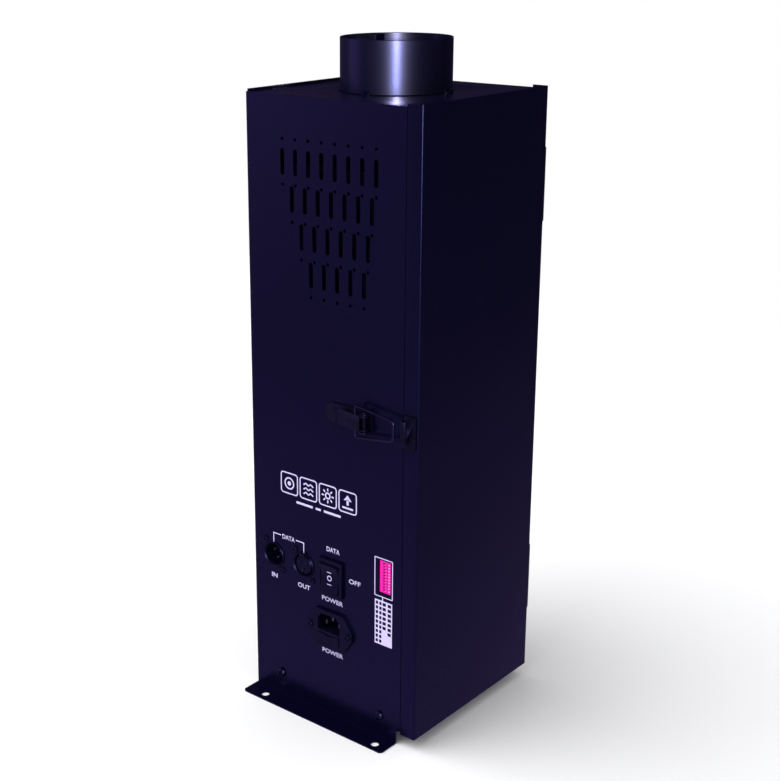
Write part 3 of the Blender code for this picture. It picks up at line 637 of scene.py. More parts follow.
class FOG_OT_case(bpy.types.Operator):
    """Front and side sheets with folded edges, and the plain sheets behind them"""

    bl_idname = "fog.case"
    bl_label = "Case"

    VENT_COUNTS = (8, 7, 6, 5)
    VENT_FIRST = (-48.8 * MM, 475.8 * MM)
    VENT_STEP = (13.25 * MM, 9.5 * MM, 28.7 * MM)
    DOT_OFFSET = 7.45 * MM
    DOT_R = 1.4 * MM
    BOLT_PLACES = (-66.3 * MM, 55.4 * MM)
    BOLT_REACH = 12 * MM
    BOLT_R = 3.5 * MM

    def execute(self, context):
        self.front_panel()
        self.door()
        for node in PLAIN_SHEETS:
            dress_node(node, "powder_coat", sizes().edge)
        return {"FINISHED"}

    def vent_outlines(self):
        """Rows of slots that step inwards as they go down, with a dot between each slot and the next row."""
        pitch, shift, drop = self.VENT_STEP
        length = sizes().vent_length
        outlines = []
        for row, count in enumerate(self.VENT_COUNTS):
            top = self.VENT_FIRST[1] - row * drop
            for step in range(count):
                x = self.VENT_FIRST[0] + row * shift + step * pitch
                outlines.append(upright_slot((x, top - length / 2), length, sizes().vent_width, 6))
                outlines.append(circle((x, top - length - self.DOT_OFFSET), self.DOT_R, 12))
                if row == 0:
                    outlines.append(circle((x, top + self.DOT_OFFSET), self.DOT_R, 12))
        return outlines

    def control_outlines(self):
        """Openings for the controls, a little larger than the pieces that stand in them."""
        outlines = []
        for name in ("in", "out"):
            x, _, z = middle_of(f"data_{name}_shell")
            outlines.append(circle((x, z), 11.7 * MM, 48))
        for node, wide, tall in (("switch_bezel", 11 * MM, 14 * MM), ("inlet_body", 13.9 * MM, 15.4 * MM)):
            x, _, z = middle_of(node)
            outlines.append(rect(x - wide, z - tall, x + wide, z + tall))
        low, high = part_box("address_switch_body")
        room = 0.6 * MM
        outlines.append(rect(low[0] - room, low[2] - room, high[0] + room, high[2] + room))
        return outlines

    def front_panel(self):
        """The folded front: its foot, bend and face are one strip, extruded across the case."""
        bend = sizes().bend
        tip = side_of("front_panel", 1, 0)
        notch_top = 13.9 * MM
        inner = bend - SHEET
        outer_bend = arc((FRONT - inner, SHEET + inner), inner, 0, -90, 4)
        inner_bend = arc((FRONT - inner, SHEET + inner), bend, -90, 0, 6)
        strip = outer_bend + [(tip, SHEET), (tip, 0)] + inner_bend
        strip += [(FRONT + SHEET, 6 * MM), (FRONT, 6 * MM)]
        foot = prism("foot", strip, "X", LEFT, FOOT_RIGHT)
        low = 5 * MM
        face = [(LEFT, low), (FOOT_RIGHT, low), (FOOT_RIGHT, notch_top), (SEAM_X, notch_top)]
        face += [(SEAM_X, PANEL_TOP), (LEFT, PANEL_TOP)]
        panel = union(prism("front_sheet", face, "Y", FRONT, FRONT + SHEET), foot)
        openings = self.vent_outlines() + self.control_outlines()
        cut(panel, prisms("openings", openings, "Y", FRONT - MM, FRONT + 2 * MM))
        corner = 3 * MM
        holes = [circle((x, FRONT - self.BOLT_REACH), self.BOLT_R, 32) for x in self.BOLT_PLACES]
        cut(panel, prisms("holes", holes, "Z", -MM, 2 * MM))
        wedge = [(LEFT - MM, tip - MM), (LEFT + corner, tip - MM), (LEFT - MM, tip + corner)]
        mirrored = [(LEFT + FOOT_RIGHT - u, v) for u, v in wedge]
        cut(panel, prisms("corners", [wedge, mirrored], "Z", -MM, 2 * MM))
        settle(soften(panel, 0.2 * MM), "powder_coat", "case", "front_panel")

    def door(self):
        """The door sheet, folded round at its front and rear edges."""
        bend = sizes().bend
        inner = bend - SHEET
        lip = side_of("door", 0, 0)
        turns = [(RIGHT - bend, FRONT + bend, -90), (RIGHT - bend, REAR - bend, 0)]
        outside, inside = (
            [point for x, y, start in turns for point in arc((x, y), radius, start, start + 90, 6)]
            for radius in (bend, inner)
        )
        outline = [(lip, FRONT), *outside, (lip, REAR)]
        outline += [(lip, REAR - SHEET), *inside[::-1], (lip, FRONT + SHEET)]
        sheet = prism("door_sheet", outline, "Z", DOOR_LOW, DOOR_TOP)
        settle(soften(sheet, 0.2 * MM), "powder_coat", "door", "door")


class FOG_OT_chimney(bpy.types.Operator):
    """The rolled outlet tube, its overlapping seam, the tabs that hold it down, and a matt black ring at its
    foot that paints the shade line on the plate
    """

    bl_idname = "fog.chimney"
    bl_label = "Chimney"

    TAB_ANGLES = (-82, 8, 98, 188)
    SEAM_ANGLE = 146
    # Profile of the matt black ring round the tube's foot, as a radius offset and a height in millimetres:
    # painted shade, a dark line where the tube meets the top plate.
    SHADE_RING = ((-0.1, 0.02), (0.9, 0.02), (0.5, 0.52), (-0.1, 0.72))

    def execute(self, context):
        low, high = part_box("chimney_collar")
        x, y, _ = middle_of("chimney_collar")
        radius, flange = 44.0 * MM, (high[0] - low[0]) / 2
        wall = SHEET * 0.8
        under = PANEL_TOP - SHEET - 0.3 * MM
        lip = 0.4 * MM
        profile = [
            (radius - wall + lip, high[2]),
            (radius - lip, high[2]),
            (radius, high[2] - lip),
            (radius, under),
            (flange, under),
            (flange, under - wall),
            (radius, under - wall),
            (radius, low[2]),
            (radius - wall, low[2]),
            (radius - wall, high[2] - lip),
        ]
        collar = lathe("chimney_tube", profile, "Z", (x, y), 128)
        settle(smooth(collar), "powder_coat", "case", "chimney_collar")
        inner = radius - wall
        start, end = self.SEAM_ANGLE - 5, self.SEAM_ANGLE + 5
        seam = arc((x, y), inner - 0.05 * MM, start, end, 6) + arc((x, y), inner - 0.75 * MM, end, start, 6)
        strip = prism("chimney_seam", seam, "Z", low[2], high[2] - MM)
        settle(smooth(strip, 40), "powder_coat", "case")
        # A thin matt black ring round the tube's foot: painted shade that draws the dark line where the tube
        # meets the plate.
        shade_ring = [(radius + u, PANEL_TOP + v) for u, v in steps_from(0.0, self.SHADE_RING)]
        settle(smooth(lathe("chimney_shade_ring", shade_ring, "Z", (x, y), 128)), "matt_black", "case")
        tabs = [self.tab(x, y, radius, angle) for angle in self.TAB_ANGLES]
        settle(soften(joined("chimney_tabs", tabs), 0.15 * MM), "powder_coat", "case")
        return {"FINISHED"}

    @staticmethod
    def tab(x, y, radius, degrees):
        """A small folded tab that stands on the top plate and lies against the tube."""
        foot, thick, tall, half = 4.5 * MM, 0.7 * MM, 3.2 * MM, 3.0 * MM
        near = radius + 0.1 * MM
        base = PANEL_TOP + 0.05 * MM
        outline = [(0, 0), (foot, 0), (foot, thick), (thick, thick), (thick, tall), (0, tall)]
        tab = prism("tab", about((near, base), outline), "Y", -half, half)
        tab.matrix_world = Matrix.Translation((x, y, 0)) @ Matrix.Rotation(math.radians(degrees), 4, "Z")
        return tab


def pan_head(name, node, seat, radius, turn, finish="dark_steel"):
    """A cross-recessed pan-head screw that replaces a plain one; its head stands in front of y = seat."""
    x, _, z = middle_of(node)
    front, back = side_of(node, 1, 0), side_of(node, 1, 1)
    height = seat - front
    shank = 0.42 * radius
    angles = [math.radians(6 * step) for step in range(1, 14)]
    dome = [(radius * math.sin(a), front + height * 0.72 * (1 - math.cos(a)) ** 1.2) for a in angles]
    profile = [(0, front), *dome, (radius, front + 0.8 * height), (radius, seat)]
    profile += [(shank, seat), (shank, back), (0, back)]
    screw = lathe(name, profile, "Y", (x, z), 40)
    arms = []
    long, thin, floor_y = 0.62 * radius, 0.13 * radius, front + 0.55 * height
    for angle in (turn, turn + 90):
        arm = block("arm", (-long, front - MM, -thin), (long, floor_y, thin))
        arm.data.transform(Matrix.Translation((x, 0, z)) @ Matrix.Rotation(math.radians(angle), 4, "Y"))
        arms.append(arm)
    union(arms[0], arms[1])
    cut(screw, arms[0])
    return settle(smooth(screw), finish, "case", node)


class FOG_OT_screws(bpy.types.Operator):
    """Cross-recessed screws of the case, the sockets and the inlet, and the latch's rivet"""

    bl_idname = "fog.screws"
    bl_label = "Screws"

    def execute(self, context):
        seat = FRONT - 0.05 * MM
        for turn, hand in zip((25, 58), ("left", "right")):
            pan_head(f"case_fixing_{hand}", f"case_screw_{hand}", seat, 4.0 * MM, turn, "wire")
        for socket in ("in", "out"):
            for turn, place in zip((10, 40), ("upper", "lower")):
                name = f"socket_fixing_{socket}_{place}"
                pan_head(name, f"data_{socket}_screw_{place}", seat, 2.7 * MM, turn)
        face = side_of("inlet_body", 1, 0) - 0.05 * MM
        for turn, hand in zip((30, 75), ("left", "right")):
            pan_head(f"inlet_fixing_{hand}", f"inlet_screw_{hand}", face, 2.8 * MM, turn)
        self.rivet()
        return {"FINISHED"}

    def rivet(self):
        """The domed rivet that the latch's base is held by."""
        x, _, z = middle_of("latch_rivet")
        front, back = side_of("latch_rivet", 1, 0), side_of("latch_rivet", 1, 1)
        radius, shank, height = 2.6 * MM, 1.3 * MM, 1.5 * MM
        angles = [math.radians(9 * step) for step in range(1, 11)]
        dome = [(radius * math.sin(a), front + height * (1 - math.cos(a))) for a in angles]
        profile = [(0, front), *dome, (shank, front + height), (shank, back), (0, back)]
        settle(smooth(lathe("rivet_head", profile, "Y", (x, z), 32)), "dark_steel", "case", "latch_rivet")


class FOG_OT_latch(bpy.types.Operator):
    """The draw latch: pressed plates with worn edges, and a bent wire loop"""

    bl_idname = "fog.latch"
    bl_label = "Latch"

    def execute(self, context):
        for node in ("latch_base", "latch_lever", "latch_catch"):
            dress_node(node, "dark_steel", 0.22 * MM, 3)
        low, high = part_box("latch_bail")
        _, y, z = middle_of("latch_bail")
        radius = (high[1] - low[1]) / 2
        x, end = low[0] + radius, high[0] - radius
        wide, narrow, gap = (high[2] - low[2]) / 2 - radius, 8.8 * MM, 4.4 * MM
        bend, corner = 2.0 * MM, 4.0 * MM
        side = [(x, gap)] + arc((x + bend, wide - bend), bend, 180, 97, 8)
        side += arc((end - corner, narrow - corner), corner, 83, 0, 10)
        loop = [(u, z + v) for u, v in side] + [(u, z - v) for u, v in side[::-1]]
        wire = tube("latch_loop", [(u, y, v) for u, v in loop], radius * 0.98, 5)
        settle(smooth(wire, 50), "wire", "bail", "latch_bail")
        return {"FINISHED"}


class FOG_OT_hinges(bpy.types.Operator):
    """Two butt hinges on the rear face"""

    bl_idname = "fog.hinges"
    bl_label = "Hinges"

    def execute(self, context):
        for place in ("lower", "upper"):
            for leaf in ("frame", "door"):
                dress_node(f"hinge_{place}_{leaf}_leaf", "dark_steel", 0.2 * MM)
            dress_node(f"hinge_{place}_pin", "plating")
        return {"FINISHED"}


def contact_spots(centre, radius):
    """Three contacts of a data socket: one each side, and one at the bottom."""
    return [arc(centre, radius, angle, angle, 1)[0] for angle in (35, 145, 270)]


class FOG_OT_data_sockets(bpy.types.Operator):
    """The two round data sockets: one with pins, one with contact holes and a release tab"""

    bl_idname = "fog.data_sockets"
    bl_label = "Data sockets"

    SHELL_R = 11.35 * MM
    CONTACT_RING = 4.2 * MM
    FLANGE = (-80.5 * MM, -78.9 * MM)
    TAB_ROOM = (-85 * MM, -66 * MM)
    PIN_FLOOR = -70 * MM
    BLOCK_STEP = -66 * MM
    # Lathe profiles: a radius and a distance behind the tip, the floor or the face, in millimetres.
    PIN_TIP = ((0, 0), (0.55, 0.15), (1.05, 0.8), (1.15, 1.4))
    PIN_ROOT = ((1.15, 0.4), (0, 0.4))
    HOLE = ((0, 9), (1.35, 9), (1.35, 0.5), (1.9, -0.1), (0, -0.1))
    SLEEVE = ((0.85, 8.9), (1.3, 8.9), (1.3, 1.2), (0.85, 1.2))

    def execute(self, context):
        for name, inner in (("in", 9.6 * MM), ("out", 9.8 * MM)):
            self.shell(name, inner)
        self.pins()
        self.receptacle()
        return {"FINISHED"}

    def shell(self, name, inner):
        node = f"data_{name}_shell"
        low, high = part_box(node)
        x, _, z = middle_of(node)
        lip = 0.5 * MM
        ring = 1.1 * MM
        profile = [
            (inner, high[1]),
            (self.SHELL_R, high[1]),
            (self.SHELL_R, low[1] + lip),
            (self.SHELL_R - lip, low[1]),
            (inner + lip + ring / 2, low[1]),
            (inner + lip, low[1] + lip),
            (inner, low[1] + ring),
        ]
        shell = lathe(f"socket_{name}", profile, "Y", (x, z), 64)
        flange = prism("flange", face_of(node, 3 * MM), "Y", *self.FLANGE)
        middle = circle((x, z), self.SHELL_R - 0.4 * MM, 64)
        cut(flange, prism("middle", middle, "Y", -82 * MM, -77 * MM))
        union(shell, flange)
        if name == "out":
            cut(shell, plug("tab_slot", (x, z), (-3.1, 8.5, 3.1, 13), *self.TAB_ROOM))
        settle(smooth(shell), "moulded_black", "case", node)

    def pins(self):
        node = "data_in_insert"
        low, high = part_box(node)
        x, _, z = middle_of(node)
        radius, floor_y, lip = (high[0] - low[0]) / 2, self.PIN_FLOOR, 0.5 * MM
        profile = [(0, high[1]), (radius, high[1])]
        profile += [(radius, floor_y + lip), (radius - lip, floor_y), (0, floor_y)]
        core = lathe("pin_carrier", profile, "Y", (x, z), 48)
        key = plug("key", (x, z), (-1.6, 7.4, 1.6, 9.2), low[1] + MM, floor_y + MM)
        settle(smooth(union(core, key)), "moulded_black", "case", node)
        profile = steps_from(low[1], self.PIN_TIP) + steps_from(floor_y, self.PIN_ROOT)
        pins = [lathe("pin", profile, "Y", spot, 20) for spot in contact_spots((x, z), self.CONTACT_RING)]
        settle(smooth(joined("socket_pins", pins)), "plating", "case")

    def receptacle(self):
        node = "data_out_insert"
        low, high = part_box(node)
        x, _, z = middle_of(node)
        face, step, radius, lip = low[1], self.BLOCK_STEP, 8.3 * MM, 0.5 * MM
        wide = (high[0] - low[0]) / 2
        profile = [(0, high[1]), (wide, high[1]), (wide, step), (radius, step)]
        profile += [(radius, face + lip), (radius - lip, face), (0, face)]
        core = lathe("contact_block", profile, "Y", (x, z), 48)
        spots = contact_spots((x, z), self.CONTACT_RING)
        holes = [lathe("hole", steps_from(face, self.HOLE), "Y", spot, 24) for spot in spots]
        cut(core, *holes, plug("keyway", (x, z), (-1.4, -9, 1.4, -6.9), face - MM, face + 5 * MM))
        settle(smooth(core), "moulded_black", "case", node)
        sleeves = [lathe("sleeve", steps_from(face, self.SLEEVE), "Y", spot, 20) for spot in spots]
        settle(smooth(joined("contact_sleeves", sleeves)), "plating", "case")
        self.release_tab()

    @staticmethod
    def release_tab():
        """The sprung tab, with three grooves across its top for the thumb."""
        low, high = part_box("data_out_release_tab")
        tab = block("release_tab", low, high)
        for groove in range(3):
            front = low[1] + (0.5 + groove) * MM
            edge = (low[0] - MM, front, high[2] - 0.25 * MM)
            cut(tab, block("groove", edge, (high[0] + MM, front + 0.4 * MM, high[2] + MM)))
        settle(soften(tab, 0.12 * MM), "moulded_black", "release_tab", "data_out_release_tab")


class FOG_OT_power_switch(bpy.types.Operator):
    """The rocker in its bezel, with its three marks"""

    bl_idname = "fog.power_switch"
    bl_label = "Power switch"

    def execute(self, context):
        x, _, z = middle_of("switch_bezel")
        face, back = side_of("switch_bezel", 1, 0), side_of("switch_bezel", 1, 1)
        rim = prism("bezel", face_of("switch_bezel", 1.6 * MM), "Y", face, FRONT - 0.3 * MM)
        union(rim, plug("body", (x, z), (-10.7, -13.7, 10.7, 13.7), face + 1.2 * MM, back))
        cut(rim, plug("well", (x, z), (-9.6, -12.6, 9.6, 12.6), face - MM, back - 3 * MM))
        settle(soften(rim, 0.45 * MM, 3), "moulded_black", "case", "switch_bezel")
        self.rocker(x, z)
        return {"FINISHED"}

    # How far the rocker's middle lies behind its tips.
    DIP = 2.2 * MM
    # Back of the rocker as depth and height in millimetres, from its upper edge to its lower one.
    BEHIND = ((-84, 12), (-78, 9), (-73, 4), (-73, -4), (-78, -9), (-84, -12))
    MARK_LEVEL = 5.6 * MM
    MARK = rect(-2.3 * MM, -0.45 * MM, 2.3 * MM, 0.45 * MM)
    RING = ((1.7, 0.2), (2.4, 0.2), (2.4, -0.16), (1.7, -0.16))

    def rocker(self, x, z):
        """A key with a dished front, a parabola from tip to tip, and the marks on it."""
        low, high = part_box("switch_rocker")
        dip, half = low[1] + self.DIP, (high[2] - low[2]) / 2
        shares = [step / 6 - 1 for step in range(13)]
        outline = [(dip - self.DIP * share * share, z + share * (half - 0.35 * MM)) for share in shares]
        outline += [(y * MM, z + v * MM) for y, v in self.BEHIND]
        key = prism("rocker", outline, "X", low[0], high[0])
        settle(soften(key, 0.35 * MM, 3, 25), "moulded_black", "rocker", "switch_rocker")
        marks = []
        for level in (self.MARK_LEVEL, -self.MARK_LEVEL):
            share = level / half
            slope = math.atan(2 * self.DIP * share / half)
            place = Matrix.Translation((x, dip - self.DIP * share * share, z + level))
            mark = prism("mark", self.MARK, "Y", -0.06 * MM, 0.25 * MM)
            mark.matrix_world = place @ Matrix.Rotation(-slope, 4, "X")
            marks.append(mark)
        marks.append(lathe("ring", steps_from(dip, self.RING), "Y", (x, z), 40))
        settle(smooth(joined("rocker_marks", marks)), "screen_print", "rocker")


class FOG_OT_power_inlet(bpy.types.Operator):
    """The fused inlet: its eared flange, flat pins and fuse drawer"""

    bl_idname = "fog.power_inlet"
    bl_label = "Power inlet"

    PIN_ENDS = (-79.4 * MM, -67.9 * MM)
    # In millimetres about the inlet's middle: the plug's opening with two corners cut off, and its pins.
    MOUTH = ((-11.7, -2), (11.7, -2), (11.7, 9), (7.7, 13), (-7.7, 13), (-11.7, 9))
    PINS = ((-7, 3.4), (7, 3.4), (0, 8))

    def execute(self, context):
        low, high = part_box("inlet_body")
        x, _, z = middle_of("inlet_body")
        face, back = low[1], high[1]
        waist, ear = 15 * MM, 3.5 * MM
        wide, tall = (high[0] - low[0]) / 2, (high[2] - low[2]) / 2
        right = [(wide, -ear), (wide, ear), (waist, tall)]
        outline = right + [(-u, v) for u, v in right[::-1]] + [(-waist, -tall), (waist, -tall)]
        flange = prism("inlet_flange", about((x, z), outline), "Y", face, FRONT - 0.3 * MM)
        union(flange, plug("body", (x, z), (-13.6, -15.1, 13.6, 15.1), face + MM, back))
        mouth = [(x + u * MM, z + v * MM) for u, v in self.MOUTH]
        holes = [circle((x + side * 20 * MM, z), 1.9 * MM, 24) for side in (-1, 1)]
        cut(
            flange,
            prism("mouth", mouth, "Y", face - MM, -68 * MM),
            plug("pocket", (x, z), (-11.5, -13.3, 11.5, -4.2), face - MM, -58 * MM),
            *(prism("hole", hole, "Y", face - MM, FRONT) for hole in holes),
        )
        settle(soften(flange, 0.4 * MM, 3), "moulded_black", "case", "inlet_body")
        sides = [(u - 1, v - 2, u + 1, v + 2) for u, v in self.PINS]
        pins = [plug("pin", (x, z), each, *self.PIN_ENDS) for each in sides]
        settle(soften(joined("inlet_pins", pins), 0.3 * MM), "plating", "case")
        self.fuse_drawer(x, z)
        return {"FINISHED"}

    @staticmethod
    def fuse_drawer(x, z):
        """The drawer, with a bed for its fuse and a grip for a fingernail."""
        low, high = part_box("inlet_fuse_drawer")
        drawer = block("fuse_drawer", low, high)
        bed = plug("bed", (x, z), (-9, -11, 9, -4), -82 * MM, -62 * MM)
        grip = plug("grip", (x, z), (-4, -5.9, 4, -4), low[1] - MM, low[1] + 1.3 * MM)
        cut(drawer, bed, grip)
        settle(soften(drawer, 0.25 * MM), "moulded_black", "fuse_drawer", "inlet_fuse_drawer")


class FOG_OT_address_switches(bpy.types.Operator):
    """The red switch block and its ten sliders"""

    bl_idname = "fog.address_switches"
    bl_label = "Address switches"

    def execute(self, context):
        low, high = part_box("address_switch_body")
        body = block("address_block", low, high)
        levels = [middle_of(f"address_slider_{way:02d}")[2] for way in range(1, 11)]
        slot = (low[0] + 3.2 * MM, low[0] + 8.0 * MM)
        slots = [rect(slot[0], v - 0.8 * MM, slot[1], v + 0.8 * MM) for v in levels]
        cut(body, prisms("slots", slots, "Y", low[1] - MM, low[1] + 2.6 * MM))
        settle(soften(body, 0.15 * MM), "red", "case", "address_switch_body")
        dots = [rect(high[0] - 2.4 * MM, v - 0.35 * MM, high[0] - 1.1 * MM, v + 0.35 * MM) for v in levels]
        ticks = prisms("address_ticks", dots, "Y", low[1] - 0.06 * MM, low[1] + 0.05 * MM)
        settle(ticks, "screen_print", "case")
        for way in range(1, 11):
            node = f"address_slider_{way:02d}"
            foot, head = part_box(node)
            cap = block(f"address_key_{way:02d}", foot, head)
            settle(soften(cap, 0.14 * MM), "slider", f"slider_{way:02d}", node)
        return {"FINISHED"}


class FOG_OT_print(bpy.types.Operator):
    """The white screen print: plain words, frames, pictograms and the switch table"""

    bl_idname = "fog.print"
    bl_label = "Screen print"

    WORDS = (
        ("IN", (-64.0, 110.8), 6.6),
        ("OUT", (-30.8, 110.5), 13.6),
        ("DATA", (-47.6, 149.4), 14.0),
        ("DATA", (1.3, 152.5), 14.0),
        ("OFF", (24.1, 130.8), 12.2),
        ("POWER", (0.4, 107.1), 22.5),
        ("POWER", (0.4, 59.2), 22.5),
    )

    def execute(self, context):
        words = [self.word(text, (u * MM, v * MM), wide * MM) for text, (u, v), wide in self.WORDS]
        settle(joined("print_words", words), "screen_print", "case")
        for name in ("bracket", "icons", "table"):
            outlines = getattr(self, name)()
            settle(prisms(f"print_{name}", outlines, "Y", INK_FACE, INK_BACK), "screen_print", "case")
        return {"FINISHED"}

    def word(self, text, centre, wide):
        """A word in bold capitals, as a thin layer of ink."""
        curve = bpy.data.curves.new("word", "FONT")
        curve.body = text
        curve.align_x, curve.align_y = "CENTER", "CENTER"
        curve.offset = 0.02
        curve.resolution_u = 3
        obj = linked("word", curve)
        mesh = evaluated_mesh(obj)
        bpy.data.objects.remove(obj, do_unlink=True)
        points = [v.co for v in mesh.vertices]
        low = Vector(map(min, zip(*points)))
        high = Vector(map(max, zip(*points)))
        span = high - low
        bm = bmesh.new()
        bm.from_mesh(mesh)
        bmesh.ops.translate(bm, verts=bm.verts, vec=-(low + high) / 2)
        bmesh.ops.scale(bm, verts=bm.verts, vec=(wide / span[0], sizes().letter / span[1], 1.0))
        bmesh.ops.rotate(bm, verts=bm.verts, matrix=Matrix.Rotation(math.radians(90), 3, "X"))
        bmesh.ops.translate(bm, verts=bm.verts, vec=(centre[0], INK_BACK, centre[1]))
        flat = bmesh.ops.extrude_face_region(bm, geom=list(bm.faces))
        moved = [item for item in flat["geom"] if isinstance(item, bmesh.types.BMVert)]
        bmesh.ops.translate(bm, verts=moved, vec=(0, INK_FACE - INK_BACK, 0))
        return object_of("word", bm)

    def bar(self, start, end, width=None):
        """A straight stroke between two points."""
        start, end = Vector(start), Vector(end)
        side = (end - start).orthogonal().normalized() * (width or sizes().stroke) / 2
        return [tuple(point) for point in (start + side, start - side, end - side, end + side)]

    def band(self, outer, inner):
        """A closed frame between two outlines with the same number of points, as four-sided patches."""
        count = len(outer)
        return [[outer[i], outer[(i + 1) % count], inner[(i + 1) % count], inner[i]] for i in range(count)]

    def frame_of(self, low, high, radius, width):
        """A round-cornered frame, of one line width all round."""
        inner_low = (low[0] + width, low[1] + width)
        inner_high = (high[0] - width, high[1] - width)
        return self.band(rounded_rect(low, high, radius), rounded_rect(inner_low, inner_high, radius - width))

    def ring(self, centre, radius, width):
        return self.band(circle(centre, radius, 28), circle(centre, radius - width, 28))

    def bracket(self):
        """The line that ties the two data sockets together, open where their shared word stands."""
        top, low, half = 149.9 * MM, 141.1 * MM, sizes().stroke / 2
        left, right = -64.5 * MM, -30.7 * MM
        gap = (-56.0 * MM, -39.2 * MM)
        ends = [((u, low), (u, top + half)) for u in (left, right)]
        ends += [((left + half, top), (gap[0], top)), ((gap[1], top), (right - half, top))]
        return [self.bar(*pair) for pair in ends]

    def icons(self):
        """Four round-cornered tiles, each with a neutral pictogram, over a row of plain bars."""
        pitch, size, stroke = 20.85 * MM, 19.1 * MM, 1.1 * MM
        left, low = -55.4 * MM, 189.6 * MM
        outlines = []
        centres = []
        for tile in range(4):
            u = left + tile * pitch
            outlines += self.frame_of((u, low), (u + size, low + size), 3.0 * MM, stroke)
            centres.append((u + size / 2, low + size / 2))
        outlines += self.ring(centres[0], 5.4 * MM, 1.3 * MM) + [circle(centres[0], 1.9 * MM, 20)]
        for rise in (-4, 0, 4):
            u, v = centres[1][0], centres[1][1] + rise * MM
            peaks = [(u + s * 2.6 * MM, v + (0.9 if s % 2 else -0.9) * MM) for s in (-2, -1, 0, 1, 2)]
            outlines += [self.bar(a, b, 1.2 * MM) for a, b in zip(peaks, peaks[1:])]
        outlines += self.ring(centres[2], 3.0 * MM, 1.3 * MM)
        inner_ends, outer_ends = (circle(centres[2], radius, 8) for radius in (4.0 * MM, 6.4 * MM))
        outlines += [self.bar(a, b, 1.3 * MM) for a, b in zip(inner_ends, outer_ends)]
        u, v = centres[3]
        outlines.append(self.bar((u, v - 2.6 * MM), (u, v + 2.2 * MM), 2.2 * MM))
        outlines.append([(u - 4.2 * MM, v + 1.2 * MM), (u + 4.2 * MM, v + 1.2 * MM), (u, v + 6.0 * MM)])
        outlines.append(self.bar((u - 5.6 * MM, v - 5.2 * MM), (u + 5.6 * MM, v - 5.2 * MM), 1.6 * MM))
        for start, end in ((-38.2, -20.4), (-17.2, -11.6), (-8.4, 9.4)):
            outlines.append(self.bar((start * MM, 184.6 * MM), (end * MM, 184.6 * MM), 2.0 * MM))
        return outlines

    TABLE_ROWS = 9
    # For each column, in millimetres: the line before it and its width; then how many low cells are filled.
    TABLE_COLUMNS = ((1.0, 2.4, 0), (1.2, 2.3, 0), (1.0, 3.4, 3), (1.8, 3.4, 2))

    def table(self):
        """The window frame round the address switches, and the table under it."""
        outlines = self.frame_of((44.5 * MM, 127.2 * MM), (63.0 * MM, 161.2 * MM), 0.9 * MM, 0.8 * MM)
        left, right, low, high = 45.0 * MM, 62.6 * MM, 85.1 * MM, 124.2 * MM
        line = 1.4 * MM
        pitch = (high - low - line) / self.TABLE_ROWS
        u = left
        for gap, wide, filled in self.TABLE_COLUMNS:
            outlines.append(rect(u, low, u + gap * MM, high))
            u += gap * MM
            end = u + wide * MM
            for row in range(self.TABLE_ROWS + 1):
                outlines.append(rect(u, low + row * pitch, end, low + row * pitch + line))
            for row in range(filled):
                outlines.append(rect(u, low + row * pitch + line, end, low + (row + 1) * pitch))
            u = end
        outlines.append(rect(u, low, right, high))
        outlines.append(rect(52.4 * MM, 124.2 * MM, 53.4 * MM, 127.2 * MM))
        return outlines


class FOG_OT_inside(bpy.types.Operator):
    """What the open door and the vents show: fan, heater, bottle, pump, tubes and boards"""

    bl_idname = "fog.inside"
    bl_label = "Inside"

    NODES = (
        ("fan_frame", "matt_black", 0.4 * MM),
        ("fan_rotor", "matt_black", 0.3 * MM),
        ("heater_block", "casting", 1.0 * MM),
        ("thermostat", "casting", 0.3 * MM),
        ("heater_shroud", "casting", 0.3 * MM),
        ("nozzle", "plating", 0.3 * MM),
        ("pump", "plating", 0.6 * MM),
        ("fluid_bottle", "translucent", None),
        ("feed_tube", "translucent", None),
        ("delivery_tube", "translucent", None),
        ("bottle_cap", "cap", 0.4 * MM),
        ("control_board", "solder_mask", 0.15 * MM),
        ("power_board", "solder_mask", 0.15 * MM),
    )

    def execute(self, context):
        for node, finish, width in self.NODES:
            dress_node(node, finish, width)
        return {"FINISHED"}


